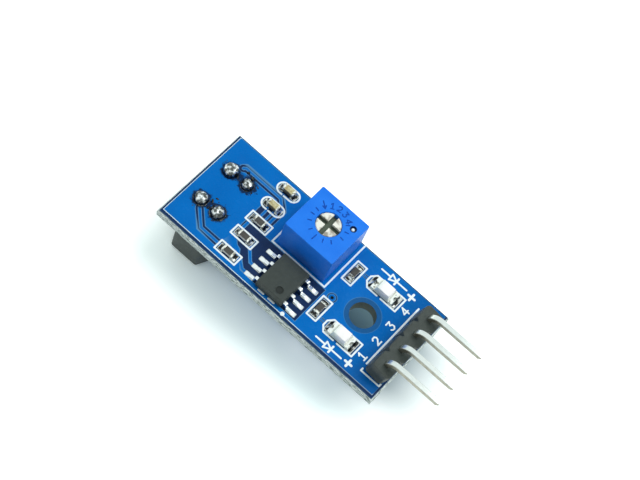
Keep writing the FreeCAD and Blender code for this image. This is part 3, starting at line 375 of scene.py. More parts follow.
def grown(polygon, reach):
    """A convex outline with every side moved outwards by reach."""
    lines = []
    for (x1, y1), (x2, y2) in sides_of(polygon):
        length = math.hypot(x2 - x1, y2 - y1)
        nx, ny = (y2 - y1) / length, -(x2 - x1) / length
        lines.append((nx, ny, nx * x1 + ny * y1 + reach))
    corners = []
    for (a1, b1, c1), (a2, b2, c2) in zip(lines[-1:] + lines[:-1], lines):
        cross = a1 * b2 - a2 * b1
        corners.append(((c1 * b2 - c2 * b1) / cross, (a1 * c2 - a2 * c1) / cross))
    return corners


def chip_place(node):
    """A chip's place, and whether it is turned across the board."""
    (x_low, y_low, _), (x_high, y_high, _) = span(node)
    return (*middle(node), y_high - y_low > x_high - x_low)


SCORE = 0.25
COPPER = 0.035
SLOPE = 0.05
UNDER_SLOPE = 0.06
board_low, board_high = span("circuit_board")
UNDERSIDE = board_low[2]
BOARD = (board_low[0] + SCORE, board_high[0] - SCORE, board_low[1] + SCORE, board_high[1] - SCORE)
SENSOR_LEADS = ("detector_lead_1", "detector_lead_2", "emitter_lead_1", "emitter_lead_2")
SENSOR_HOLES = [middle(lead) for lead in SENSOR_LEADS]
TRIMMER_HOLES = [middle(f"trimmer_pin_{number}") for number in (1, 2, 3)]
HEADER_ROW = middle("header_solder")[0]
HEADER_HOLES = [(HEADER_ROW, middle(f"header_pin_{number}")[1]) for number in (1, 2, 3, 4)]
RESISTORS = [chip_place(f"resistor_{number}_body") for number in (1, 2, 3, 4, 5)]
CAPACITORS = [chip_place(f"capacitor_{number}_body") for number in (1, 2)]
LEDS = [middle(f"led_{number}_base") for number in (1, 2)]
VIA = (-3.85, -0.9)
SCREW_RADIUS = 1.6
VIA_RADIUS = 0.2
LEAD_HOLE_RADIUS = 0.40
HEADER_HOLE_RADIUS = 0.52

# The copper pour, the areas cut out of it, the gaps beside single tracks, and the tracks in them.
# A gap or track is a path with half its width.
pour = rectangle(-24.42, 6.85, -6.53, 6.72)
bare = [
    rectangle(-17.05, -14.4, 0.8, 2.15),
    rectangle(-17.05, -14.2, -1.85, -0.7),
    [(-16.3, -3.1), (-14.9, -4.55), (-14.1, -4.55), (-14.1, -3.1)],
    [(-14.3, -0.7), (-14.3, -4.9), (-13.4, -5.85), (-4.95, -6.1), (-4.95, -0.7)],
]
bare += [oblong(chip, 1.38, 0.56) for chip in RESISTORS + CAPACITORS]
bare += [rectangle(x - 2.12, x + 2.2, y - 0.88, y + 0.88) for x, y in LEDS]
bare = [anticlockwise(polygon) for polygon in bare]
clear = [
    ([(-21.6, 3.95), (-21.35, 4.2), (-16.05, 4.2), (-14.92, 3.1), (-14.92, 1.2)], 0.52),
    ([(-21.7, -3.45), (-19.95, -5.15), (-17.3, -5.15)], 0.5),
    ([(-3.0, 3.9), (-2.3, 3.9)], 0.24),
    ([(-3.0, -3.75), (-2.3, -3.75)], 0.24),
]
tracks = [
    ([(-21.6, 3.95), (-21.35, 4.2), (-16.05, 4.2), (-14.92, 3.1), (-14.92, 0.4)], 0.18),
    ([(-21.75, -3.4), (-19.95, -5.15), (-17.0, -5.15)], 0.18),
    ([(-16.65, 0.0), (-16.65, -2.4)], 0.18),
    ([(-16.45, 2.6), (-16.2, 1.6), (-16.2, 0.4)], 0.14),
    ([(-15.5, 2.4), (-15.5, 0.5)], 0.12),
    ([(-16.75, -2.6), (-16.75, -3.1), (-15.9, -3.9), (-15.2, -4.1), (-14.85, -4.6)], 0.2),
    ([(-14.75, -2.6), (-14.3, -3.15), (-13.2, -4.33), (-12.4, -4.33)], 0.18),
    ([(-14.75, -5.1), (-14.15, -4.9), (-13.35, -5.6), (-12.4, -5.6)], 0.18),
    ([(-14.9, 0.35), (-12.9, 0.35)], 0.4),
    ([(-3.7, 3.9), (-1.9, 3.9)], 0.1),
    ([(-3.7, -3.75), (-1.9, -3.75)], 0.1),
]
HOLE_RING = 2.2
rings = [((0.0, 0.0), HOLE_RING), (VIA, 0.62)]
lands = [(VIA, 0.45)] + [(spot, 0.75) for spot in SENSOR_HOLES]


def copper_height(x, y):
    """Height of the mask over the laminate: 1 over copper, 0 between, and a slope at each edge."""
    level = depth_in(pour, x, y)
    for polygon in bare:
        level = min(level, -depth_in(polygon, x, y))
    for path, half in clear:
        level = min(level, distance_to(path, x, y) - half)
    for (cx, cy), radius in rings:
        level = min(level, math.hypot(x - cx, y - cy) - radius)
    for path, half in tracks:
        level = max(level, half - distance_to(path, x, y))
    for (cx, cy), radius in lands:
        level = max(level, radius - math.hypot(x - cx, y - cy))
    return max(0.0, min(1.0, 0.5 + level / (2 * SLOPE)))


under_pour = grown(pour, UNDER_SLOPE)


def under_height(x, y):
    """The same on the board's other side, downwards, where the pour has no gaps."""
    return -max(0.0, min(1.0, depth_in(under_pour, x, y) / UNDER_SLOPE))


guides = []
for reach in (-SLOPE, SLOPE):
    guides.append(grown(pour, reach))
    guides += [grown(polygon, reach) for polygon in bare]
    guides += [stroke(path, half + reach) for path, half in clear + tracks]
    guides += [circle(*spot, radius + reach, 48 if radius > 1 else 20) for spot, radius in rings + lands]


def board_edge():
    """Points round the board's outline, each with a direction away from the board."""
    corners = [Vector(corner) for corner in rectangle(*BOARD)]
    points = []
    last_side = Vector((-1, 0))
    for start, end in sides_of(corners):
        along = (end - start).normalized()
        side = Vector((along.y, -along.x))
        steps = round((end - start).length / 0.12)
        for step in range(steps):
            lean = side if step else last_side + side
            points.append((start + (end - start) * step / steps, lean))
        last_side = side
    return points


# Level and reach of the snapped edge: a scored bevel above and below, and the torn web between.
SNAPPED = [(0.0, 0.0), (-0.1, 0.05), (-0.22, 0.11), (-0.36, 0.18), (-0.48, 0.235), (-0.52, 0.22),
           (-0.6, 0.2), (-0.68, 0.24), (-0.76, 0.2), (-0.84, 0.24), (-0.92, 0.19), (-1.0, 0.23),
           (-1.08, 0.22), (-1.14, 0.225), (-1.26, 0.17), (-1.4, 0.1), (-1.5, 0.05), (UNDERSIDE, 0.0)]
WEB = (-1.12, -0.5)


def torn(point, level):
    """How far the broken glass fibres lie back from the edge's own line there."""
    if level in (0.0, UNDERSIDE):
        return 0.0
    rough = noise.noise(Vector((point.x * 1.3, point.y * 1.3, level * 2.2)))
    fibre = noise.noise(Vector((point.x * 6.0, point.y * 6.0, level * 9.0 + 40)))
    web = 1.0 if WEB[0] < level < WEB[1] else 0.25
    return max(0.0, web * (0.035 + 0.05 * rough + 0.045 * fibre))


def wall(shape, upper, lower, material, inwards=False):
    """Faces between two closed rows of corners."""
    for (a, b), (c, d) in zip(sides_of(upper), sides_of(lower)):
        face = shape.faces.new((a, b, d, c) if inwards else (b, a, c, d))
        face.material_index = material


board = bmesh.new()
edge = board_edge()
outline = [tuple(point) for point, _ in edge]
drills = [circle(0, 0, SCREW_RADIUS, 64), circle(*VIA, VIA_RADIUS, 12)]
drills += [circle(*spot, LEAD_HOLE_RADIUS, 16) for spot in SENSOR_HOLES + TRIMMER_HOLES]
drills += [circle(*spot, HEADER_HOLE_RADIUS, 16) for spot in HEADER_HOLES]
for level, height, rims in ((0.0, copper_height, guides), (UNDERSIDE, under_height, [pour, under_pour])):
    points, triangles = cut_sheet([outline], drills, rims)
    corners = [board.verts.new((x, y, level + COPPER * height(x, y))) for x, y in points]
    for triangle in triangles:
        order = triangle if level == 0.0 else triangle[::-1]
        board.faces.new([corners[number] for number in order])
rows = []
for level, reach in SNAPPED:
    spots = [point + lean * (reach - torn(point, level)) for point, lean in edge]
    rows.append([board.verts.new((spot.x, spot.y, level)) for spot in spots])
for upper, lower in zip(rows, rows[1:]):
    wall(board, upper, lower, 1)
for hole in drills:
    upper, lower = ([board.verts.new((x, y, level)) for x, y in hole] for level in (0.0, UNDERSIDE))
    wall(board, upper, lower, 2, inwards=True)
bmesh.ops.remove_doubles(board, verts=board.verts, dist=0.0015)

mask = Finish("board_mask", paint(0, 104, 186), 0.24, Specular_IOR_Level=0.09)
level = mask.axis("Z")
rise = (level / COPPER).clipped() + ((UNDERSIDE - level) / COPPER).clipped()
over_copper = mask.mix(paint(0, 95, 174), paint(0, 112, 196), mask.grain(4.0, 2.0))
# Painted shade: the mask over copper is painted darker towards the header end, from x of -2 to 6.
over_copper = mask.mix(over_copper, paint(0, 76, 140), mask.axis("X").above(-2, 6) * 0.55)
over_laminate = mask.mix(paint(18, 40, 78), paint(28, 52, 92), mask.grain(1.2))
past_ring = mask.away_from(0, 0).above(HOLE_RING + 0.1, HOLE_RING + 0.4)
over_laminate = mask.mix(paint(26, 86, 140), over_laminate, past_ring)
# Flux burnt dark round the sensor's joints, and between each pair of them
flux = 0
for spots, size, wander, near, far in ((SENSOR_HOLES, 0.5, 0.8, 1.35, 1.7),
                                       ([(-21.1, 2.75), (-21.1, -2.3)], 0.3, 0.7, 0.6, 1.1)):
    for x, y in spots:
        away = mask.away_from(x, y) + mask.grain(size) * wander
        flux = flux + (1 - away.above(near, far))
burnt = (flux.clipped() * (0.45 + mask.grain(0.3, 4.0).above(0.3, 0.55))).clipped()
# Painted highlight: the slopes beside the copper are painted paler, partly as the mask thins over the
# copper's edges and partly as painted light, most of all along the pour's left and front edge
# and less towards the header end.
step_line = 1 - ((rise - 0.5).size() * 2.0).above(0.55, 1.0)
rim_side = (2 - mask.axis("X").above(-24.25, -24.15) - mask.axis("Y").above(-6.38, -6.28)).clipped()
painted_rim_highlight = step_line * (0.5 + rim_side * 0.5) * (1 - mask.axis("X").above(-4.5, -1) * 0.65)
rim_highlight_colour = mask.mix(paint(110, 170, 210), paint(206, 230, 238), rim_side)
blues = mask.mix(mask.mix(over_laminate, over_copper, rise), rim_highlight_colour, painted_rim_highlight)
mask.colour(mask.mix(blues, paint(14, 26, 50), burnt * 0.9))
mask.roughness(0.22 + mask.grain(0.8) * 0.1)
mask.relief(mask.grain(0.9, 3.0) + burnt * 2.0, 0.012)

laminate = Finish("fibreglass", paint(150, 168, 160), 0.65, Specular_IOR_Level=0.3)
strands = laminate.grain(0.16, 4.0, (0.25, 0.25, 3.0))
chalk = laminate.grain(0.55, 3.0)
glass = laminate.mix(paint(92, 112, 106), paint(236, 246, 243), strands.above(0.38, 0.54))
glass = laminate.mix(glass, paint(236, 245, 243), chalk.above(0.52, 0.72) * 0.6)
# Painted shade: the edge is painted darker on its lower bevel, below z of -0.95.
lower_bevel_shade = (-0.95 - laminate.axis("Z")).above(0, 0.55) * (0.4 + strands * 0.6)
glass = laminate.mix(glass, paint(112, 128, 120), lower_bevel_shade * 0.85)
mask_spill = (laminate.axis("Z") + 0.13 + strands * 0.1).above(0, 0.06)
laminate.colour(laminate.mix(glass, paint(36, 76, 114), mask_spill))
laminate.relief(strands + chalk, 0.03)
# Painted shade: the drilled walls are painted dark, standing in for the shade inside each hole.
drill_wall_shade = Finish("drill_wall_painted_shade", paint(60, 72, 64), 0.6)
drill_wall_shade.colour(drill_wall_shade.mix(paint(40, 52, 48), paint(96, 108, 96), drill_wall_shade.grain(0.2, 4.0, (1, 1, 3))))
drill_wall_shade.relief(drill_wall_shade.grain(0.12, 4.0), 0.02)
finished("circuit_board", board, [mask, laminate, drill_wall_shade], sharp=20)


# Legend: white ink printed over the mask. It frames every component, marks the plus sides
# and the comparator's first lead, and numbers the header's four pins.
def flat_shape(outlines, low, high, holes=(), into=None):
    """A flat solid with those outlines, which may overlap, less the holes."""
    shape = into or bmesh.new()
    points, triangles = cut_sheet(outlines, holes)
    upper = [shape.verts.new((x, y, high)) for x, y in points]
    lower = [shape.verts.new((x, y, low)) for x, y in points]
    rim = {}
    for a, b, c in triangles:
        shape.faces.new((upper[a], upper[b], upper[c]))
        shape.faces.new((lower[c], lower[b], lower[a]))
        for one, two in ((a, b), (b, c), (c, a)):
            if not rim.pop((two, one), False):
                rim[(one, two)] = True
    for one, two in rim:
        shape.faces.new((upper[two], upper[one], lower[one], lower[two]))
    for vert in [vert for vert in upper + lower if not vert.link_faces]:
        shape.verts.remove(vert)
    return shape


def slot_path(x, y, half_length, half_width, start, end):
    """Part of a line round a slot with rounded ends, from one share of its length to another."""
    bend = half_width * 0.95
    straight = half_length - bend
    around = []
    for centre, first in ((straight, -90), (-straight, 90)):
        for step in range(13):
            turn = math.radians(first + 15 * step)
            around.append((x + centre + bend * math.cos(turn), y + half_width * math.sin(turn)))
    around.append(around[0])
    lengths = [0.0]
    for one, two in zip(around, around[1:]):
        lengths.append(lengths[-1] + math.dist(one, two))
    path = []
    for number in range(81):
        wanted = (start + (end - start) * number / 80) * lengths[-1]
        for one, two, low, high in zip(around, around[1:], lengths, lengths[1:]):
            if low <= wanted <= high:
                share = (wanted - low) / (high - low)
                path.append((one[0] + share * (two[0] - one[0]), one[1] + share * (two[1] - one[1])))
                break
    return path


DIGITS = {
    "1": [[(0.15, 0.75), (0.4, 1.0), (0.4, 0.0)], [(0.12, 0.0), (0.66, 0.0)]],
    "2": [[(0.05, 0.8), (0.2, 0.97), (0.5, 0.97), (0.65, 0.75), (0.58, 0.52), (0.05, 0.03), (0.68, 0.03)]],
    "3": [[(0.05, 0.97), (0.62, 0.97), (0.32, 0.6), (0.6, 0.48), (0.64, 0.2), (0.42, 0.0), (0.2, 0.0),
           (0.03, 0.15)]],
    "4": [[(0.5, 0.0), (0.5, 1.0), (0.02, 0.3), (0.7, 0.3)]],
}


def digit(text, x, y, height, turn, half):
    """Strokes of a plain digit, with its lower left corner at x, y."""
    cos, sin = height * math.cos(turn), height * math.sin(turn)
    written = []
    for path in DIGITS[text]:
        corners = [(x + across * cos - up * sin, y + across * sin + up * cos) for across, up in path]
        written.append((corners, half))
    return written


def strokes(lines, steps):
    """An outline for each straight length of those lines."""
    return [stroke(length, half, steps) for path, half in lines for length in zip(path, path[1:])]


INK = 0.105
DIGIT_INK = 0.09
PLUS_ARM = 0.45
lines = []
for chip in RESISTORS:
    frame_path = oblong(chip, 1.5, 0.67)
    lines.append((frame_path + frame_path[:1], INK))
for x, y, _ in CAPACITORS:
    lines.append((slot_path(x, y, 1.5, 0.75, 0.0, 0.845), INK))
    lines.append((slot_path(x, y, 1.5, 0.75, 0.888, 1.0), INK))
for (x, y), plus_y in zip(LEDS, (1.73, -1.85)):
    left, right, low, high = x - 2.35, x + 2.35, y - 1.0, y + 1.0
    lines.append(([(x + 0.2, low), (right, low), (right, high), (left + 0.55, high), (left, high - 0.65),
                   (left, low + 0.65), (left + 0.55, low), (x - 0.35, low)], INK))
    plus_x, plus_y = 2.55, y + plus_y
    lines.append(([(plus_x - PLUS_ARM, plus_y), (plus_x + PLUS_ARM, plus_y)], INK * 1.4))
    lines.append(([(plus_x, plus_y - PLUS_ARM), (plus_x, plus_y + PLUS_ARM)], INK * 1.4))
lines.append(([(-13.2, 6.4), (-13.2, -0.55), (-5.32, -0.55), (-5.32, 6.72)], INK))
lines.append(([(4.05, -4.15), (4.05, 5.2)], 0.11))
lines.append(([(4.1, -4.9), (4.1, -5.22), (6.75, -5.22), (6.75, -4.9)], INK))
lines.append(([(-10.35, -6.18), (-9.6, -6.18)], 0.11))
lines.append(([(-8.85, -6.18), (-8.05, -6.18)], 0.11))
for text, y in zip("1234", (-4.2, -1.62, 0.92, 3.46)):
    lines += digit(text, 3.6, y, 1.0, math.pi / 2, DIGIT_INK)
for y in (5.95, -5.75):
    lines.append(([(-2.1, y), (-0.75, y)], INK))
    lines.append(([(-0.75, y - 0.42), (-0.75, y + 0.42), (0.1, y), (-0.75, y - 0.42)], INK))
    lines.append(([(0.1, y - 0.45), (0.1, y + 0.45)], INK * 1.2))
    lines.append(([(0.1, y), (1.6, y)], INK))
first_lead_dot = circle(-6.53, -6.44, 0.26, 24)
legend = flat_shape(strokes(lines, 6) + [first_lead_dot], 0.0, 0.055)
ink = Finish("legend_ink", paint(236, 246, 247), 0.55)
ink.mottled(paint(214, 232, 238), paint(246, 252, 252), 0.35)
ink.relief(ink.grain(0.12), 0.01)
finished("legend_print", legend, [ink])


# Pads: copper under each chip's end and each of the comparator's feet, tinned with solder.
# Each has a flat field with softly rounded edges, where the molten tin drew itself in.
def rounded_outline(x_low, x_high, y_low, y_high, radius, steps=4):
    corners = [(x_high - radius, y_high - radius, 0), (x_low + radius, y_high - radius, 90),
               (x_low + radius, y_low + radius, 180), (x_high - radius, y_low + radius, 270)]
    points = []
    for x, y, first in corners:
        points += [(x + radius * math.cos(turn), y + radius * math.sin(turn))
                   for turn in (math.radians(first + 90 * step / steps) for step in range(steps + 1))]
    return points


def stack(shape, loops):
    """Skins a row of loops that have as many points each, and closes both ends."""
    rows = [[shape.verts.new(point) for point in loop] for loop in loops]
    for lower, upper in zip(rows, rows[1:]):
        wall(shape, upper, lower, 0)
    shape.faces.new(rows[0][::-1])
    shape.faces.new(rows[-1])


def soft_block(shape, x_low, x_high, y_low, y_high, z_low, z_high, corner, rim, draft=0.0, under=None):
    """A block with rounded upright corners and rounded rims. Draft is how far its top draws in."""
    under = rim if under is None else under
    turns = [math.radians(90 * step / 4) for step in range(5)]
    levels = [(z_low + under * (1 - math.cos(turn)), under * (1 - math.sin(turn))) for turn in turns]
    levels += [(z_high - rim * (1 - math.sin(turn)), draft + rim * (1 - math.cos(turn))) for turn in turns]
    loops = []
    for z, inset in levels:
        radius = max(corner - inset * 0.5, corner * 0.35)
        ring = rounded_outline(x_low + inset, x_high - inset, y_low + inset, y_high - inset, radius)
        loops.append([(x, y, z) for x, y in ring])
    stack(shape, loops)
    return shape


PAD_TOP = 0.05
COMPARATOR = middle("comparator_body")
GULLS = []
for number in range(1, 9):
    x, y = middle(f"comparator_lead_{number}")
    GULLS.append((1 if x > COMPARATOR[0] else -1, y))
pad_fields = []
for x, y, turned in RESISTORS + CAPACITORS:
    for near, far in ((-1.28, -0.5), (0.5, 1.28)):
        field = (x - 0.48, x + 0.48, y + near, y + far) if turned else (x + near, x + far, y - 0.48, y + 0.48)
        pad_fields.append(field)
for x, y in LEDS:
    for near, far in ((-2.08, -1.1), (1.1, 2.08)):
        pad_fields.append((x + near, x + far, y - 0.88, y + 0.88))
for side, y in GULLS:
    near, far = sorted((COMPARATOR[0] + side * 2.45, COMPARATOR[0] + side * 3.78))
    pad_fields.append((near, far, y - 0.29, y + 0.29))
pads = bmesh.new()
for field in pad_fields:
    soft_block(pads, *field, 0.0, PAD_TOP, 0.1, 0.03, under=0.0)
tinned = Finish("tinned_copper", paint(206, 208, 204), 0.34, Metallic=1.0)
tinned.relief(tinned.grain(0.12), 0.02)
finished("board_pads", pads, [tinned])


# Sensor: a black moulded housing hangs under the board. Its two bores hold a clear lens casting
# that sends infrared light and a black one that sees it, and each stands on two square leads.
def drawn_in(points, reach):
    """A closed outline moved inwards by reach."""
    moved = []
    for number, (x, y) in enumerate(points):
        (x0, y0), (x2, y2) = points[number - 1], points[(number + 1) % len(points)]
        one = Vector((x - x0, y - y0)).normalized()
        two = Vector((x2 - x, y2 - y)).normalized()
        mean = (Vector((-one.y, one.x)) + Vector((-two.y, two.x))).normalized()
        moved.append((x + mean.x * reach, y + mean.y * reach))
    return moved


def rounded_corner(before, here, after, radius, steps):
    """Points on the arc that rounds the corner at here."""
    here = Vector(here)
    one, two = (Vector(before) - here).normalized(), (Vector(after) - here).normalized()
    half = one.angle(two) / 2
    centre = here + (one + two).normalized() * radius / math.sin(half)
    reach = radius / math.tan(half)
    start, end = (here + one * reach - centre).normalized(), (here + two * reach - centre).normalized()
    return [centre + start.slerp(end, step / steps) * radius for step in range(steps + 1)]


def smooth_corners(points, radius, steps=4):
    """A closed outline with each corner rounded."""
    around = []
    for number, here in enumerate(points):
        after = points[(number + 1) % len(points)]
        around += [tuple(point) for point in rounded_corner(points[number - 1], here, after, radius, steps)]
    return around


def rimmed(shape, outline, rims):
    """Stands an outline up through levels, at each of which it is drawn in by some reach."""
    stack(shape, [[(x, y, z) for x, y in drawn_in(outline, reach)] for z, reach in rims])
    return shape


def lathe(x, y, profile, steps=48):
    """A turned form about an upright axis. Its profile runs from its lowest to its highest point."""
    shape = bmesh.new()
    rings = [(circle(x, y, max(radius, 0.001), steps), z) for radius, z in profile]
    stack(shape, [[(px, py, z) for px, py in ring] for ring, z in rings])
    return shape


def carved(shape, tool, operation="DIFFERENCE"):
    """A shape with a tool shape cut out of it, or joined to it."""
    made, cutter = object_from("made", shape, 1.0), object_from("cutter", tool, 1.0)
    step = made.modifiers.new("cut", "BOOLEAN")
    step.operation = operation
    step.solver = "EXACT"
    step.object = cutter
    result = bmesh.new()
    result.from_mesh(made.evaluated_get(bpy.context.evaluated_depsgraph_get()).to_mesh())
    for used in (made, cutter):
        bpy.data.objects.remove(used)
    return result


SENSOR = middle("sensor_housing")
DOME = 1.7
DOME_LEVEL = -7.5
corners = [(2.9, -2.95), (2.9, 2.95), (1.9, 5.1), (-1.9, 5.1),
           (-2.9, 2.95), (-2.9, -2.95), (-1.9, -5.1), (1.9, -5.1)]
form = smooth_corners([(SENSOR[0] + x, SENSOR[1] + y) for x, y in corners], 0.35)
housing = rimmed(bmesh.new(), form, ((-9.5, 0.3), (-9.46, 0.16), (-9.38, 0.06), (-9.25, 0.0),
                                     (-2.62, 0.0), (-2.53, 0.03), (-2.5, 0.12)))
for y in (SENSOR[1] - 4.7, SENSOR[1] + 4.7):
    foot = soft_block(bmesh.new(), SENSOR[0] - 0.8, SENSOR[0] + 0.8, y - 0.25, y + 0.25, -2.7, UNDERSIDE,
                      0.1, 0.05)
    housing = carved(housing, foot, "UNION")
bore = [(2.05, -9.6), (1.9, -9.42), (1.75, -9.2), (1.75, -3.51), (1.99, -3.5), (1.99, -2.4)]
for lens in ("infrared_emitter", "infrared_detector"):
    housing = carved(housing, lathe(*middle(lens), bore))
black = Finish("black_moulding", paint(40, 46, 42), 0.42, Specular_IOR_Level=0.45)
flow = black.grain(0.09, 4.0)
black.colour(black.mix(paint(30, 36, 33), paint(62, 72, 68), black.grain(1.4) * 0.55 + flow * 0.25))
black.roughness(0.34 + black.grain(0.5) * 0.22)
black.relief(flow + black.grain(0.02) * 0.4, 0.012)
finished("sensor_housing", housing, [black])

clear_resin = Finish("clear_lens", paint(190, 208, 226), 0.06, Transmission_Weight=0.7, IOR=1.52)
clear_resin.mottled(paint(176, 196, 222), paint(214, 226, 238), 1.5)
dark_resin = Finish("dark_lens", paint(16, 14, 18), 0.08, Coat_Weight=0.6, Coat_Roughness=0.05)
dark_resin.mottled(paint(12, 10, 14), paint(30, 22, 30), 1.2)
turns = [math.radians(turn) for turn in range(0, 91, 6)]
casting = [(DOME * math.sin(turn), DOME_LEVEL - DOME * math.cos(turn)) for turn in turns]
casting += [(DOME, -3.56), (1.73, -3.52), (1.91, -3.5), (1.95, -3.46), (1.95, -2.56), (1.9, -2.5)]
for lens, resin, slot in (("infrared_emitter", clear_resin, "clear_lens"),
                          ("infrared_detector", dark_resin, "dark_lens")):
    finished(lens, lathe(*middle(lens), casting), [resin])


# Sensor joints: each lead comes up through the board and ends in a hand-made dome of solder.
# Burnt flux and small beads of solder lie around them, and the pads show as eight-sided rims.
def mound(shape, x, y, spread, height, crown, wander, seed, rings=14, steps=40):
    """A mound of solder whose outline and height wander."""
    loops = []
    for ring in range(rings + 1):
        share = ring / rings
        turn = share * math.pi / 2
        loop = []
        for px, py in circle(0, 0, 1.0, steps):
            swell = 1 + wander * noise.noise(Vector((px * 1.3, py * 1.3, seed + share)))
            reach = spread * swell * (math.cos(turn) ** crown) if ring < rings else 0.002
            lump = 1 + 0.6 * wander * noise.noise(Vector((px * 0.9, py * 0.9, seed * 3.1)))
            rise = height * math.sin(turn) * (lump if ring < rings else 1)
            loop.append((x + px * reach, y + py * reach, rise))
        loops.append(loop)
    stack(shape, loops)


def bead(shape, x, y, radius, tall, stretch, turn):
    """A drop of solder, flatter than a ball and drawn out along one way."""
    lay = Matrix.Translation((x, y, 0.02)) @ Matrix.Rotation(turn, 4, "Z")
    lay = lay @ Matrix.Diagonal((stretch, 1.0, tall, 1.0))
    bmesh.ops.create_uvsphere(shape, u_segments=14, v_segments=8, radius=radius, matrix=lay)


def upright_pin(node, corner, rim, finish):
    """A square lead or pin that stands straight, with softened edges."""
    (x_low, y_low, z_low), (x_high, y_high, z_high) = span(node)
    pin = soft_block(bmesh.new(), x_low, x_high, y_low, y_high, z_low, z_high, corner, rim)
    finished(node, pin, [finish])


wire = Finish("lead_metal", paint(196, 196, 190), 0.3, Metallic=1.0)
wire.mottled(paint(176, 178, 172), paint(226, 226, 220), 0.3)
wire.relief(wire.grain(0.06, 3.0, (1, 1, 0.2)), 0.006)
for lead in SENSOR_LEADS:
    upright_pin(lead, 0.06, 0.05, wire)

solder = Finish("solder", paint(150, 154, 152), 0.2, Metallic=1.0)
dull = solder.grain(0.35, 3.0)
level = solder.axis("Z")
# Low on each joint the solder is painted dark, partly burnt flux and partly painted dark reflection.
flux_and_dark_reflection = 1 - (level + dull * 0.5).above(0.55, 1.05)
bright = solder.mix(paint(96, 98, 94), paint(242, 245, 243), dull.above(0.42, 0.66))
flux_and_reflection_tones = solder.mix(paint(30, 34, 40), paint(96, 98, 96), solder.grain(0.22, 4.0).above(0.42, 0.66))
solder.colour(solder.mix(bright, flux_and_reflection_tones, flux_and_dark_reflection * level.above(-0.2, 0.0)))
solder.roughness(0.14 + dull * 0.2)
solder.relief(solder.grain(0.5, 2.0), 0.05)

# Spread, height, crown, wander, pad radius and seed of each joint
MOUNDS = ((1.0, 1.05, 0.75, 0.10, 0.95, 3.0), (0.78, 0.85, 0.8, 0.22, 0.84, 7.0),
          (0.9, 0.8, 0.8, 0.12, 0.98, 12.0), (0.9, 0.8, 1.0, 0.2, 1.02, 21.0))
# Place, radius, stretch and turn of the larger beads
BEADS = ((-19.95, 3.72, 0.26, 1.0, 0.0), (-20.8, 3.95, 0.17, 1.2, 0.4), (-21.35, 2.7, 0.15, 2.2, -1.0),
         (-21.25, -1.75, 0.14, 2.4, -0.9), (-21.05, -1.15, 0.12, 1.8, 0.2), (-21.05, -2.75, 0.13, 1.9, 1.4),
         (-18.85, 2.2, 0.11, 1.3, 0.3), (-18.8, 3.3, 0.1, 1.6, -0.8))
SPATTER = 46
joints = bmesh.new()
for (x, y), (spread, height, crown, wander, pad, seed) in zip(SENSOR_HOLES, MOUNDS):
    eight = smooth_corners(circle(x, y, pad / math.cos(math.pi / 8), 8, math.pi / 8), 0.15, 2)
    rimmed(joints, eight, ((0.0, 0.0), (0.05, 0.02), (0.075, 0.08), (0.06, 0.2)))
    mound(joints, x, y, spread, height, crown, wander, seed)
for x, y, radius, stretch, turn in BEADS:
    bead(joints, x, y, radius, 0.8, stretch, turn)
spatter = random.Random(11)
for number in range(SPATTER):
    x, y = SENSOR_HOLES[number % len(SENSOR_HOLES)]
    turn, reach = spatter.uniform(0, 2 * math.pi), spatter.uniform(1.02, 1.5)
    size, stretch = spatter.uniform(0.025, 0.07), spatter.uniform(1, 1.8)
    bead(joints, x + reach * math.cos(turn), y + reach * math.sin(turn), size, 0.7, stretch, turn)
finished("sensor_solder", joints, [solder], sharp=60)


# Chips: resistors are a white ceramic block under a black coat, and capacitors a tan ceramic block.
# Metal caps wrap their ends, and a hollow fillet of solder joins each cap to its pad.
def standing(shape, x, y, turned=False):
    """Moves a shape that was drawn about the origin to its place on the board."""
    bmesh.ops.rotate(shape, verts=shape.verts, matrix=Matrix.Rotation(math.pi / 2 * turned, 3, "Z"))
    bmesh.ops.translate(shape, verts=shape.verts, vec=(x, y, 0))
    return shape


def absorb(shape, added):
    """Adds one shape to another."""
    loose = bpy.data.meshes.new("loose")
    added.to_mesh(loose)
    added.free()
    shape.from_mesh(loose)
    bpy.data.meshes.remove(loose)


def fillet(start, reach, height, half, side, rows=8, columns=10):
    """A hollow slope of solder from a cap's end down to its pad."""
    shape = bmesh.new()
    grid = []
    for row in range(rows + 1):
        out = row / rows
        line = []
        for column in range(columns + 1):
            across = 2 * column / columns - 1
            spread = half * (1 + 0.16 * out) * across
            rise = height * (1 - out) ** 2.2 * (1 - 0.3 * across ** 4) * (1 - 0.12 * out)
            far = reach * (1 - 0.18 * across ** 4)
            line.append(shape.verts.new((side * (start + far * out), spread, PAD_TOP + rise)))
        grid.append(line)
    base = []
    for line in (grid[0], grid[-1]):
        base.append([shape.verts.new((vert.co.x, vert.co.y, PAD_TOP - 0.01)) for vert in line])
    for upper, lower in ((base[0], grid[0]), *zip(grid, grid[1:]), (grid[-1], base[1]), (base[1], base[0])):
        for number in range(columns):
            shape.faces.new((upper[number], upper[number + 1], lower[number + 1], lower[number]))
    for column, order in ((0, 1), (columns, -1)):
        edge_row = [line[column] for line in grid] + [base[1][column], base[0][column]]
        shape.faces.new(edge_row[::order])
    bmesh.ops.recalc_face_normals(shape, faces=shape.faces)
    return shape


CHIP_END = 0.8
CAP_HALF = 0.4
CORE = (-0.77, 0.77, -0.37, 0.37)
CORE_BASE = 0.08
coat = Finish("resistor_coat", paint(52, 52, 48), 0.38)
coat.mottled(paint(40, 40, 38), paint(78, 76, 70), 0.2, 4.0)
coat.relief(coat.grain(0.08), 0.012)
ceramic = Finish("ceramic_white", paint(232, 230, 220), 0.5)
ceramic.mottled(paint(214, 210, 196), paint(244, 243, 236), 0.12)
tan = Finish("capacitor_ceramic", paint(190, 186, 138), 0.42)
tan_top = tan.mix(paint(160, 146, 100), paint(200, 196, 152), tan.grain(0.3, 4.0).above(0.3, 0.66))
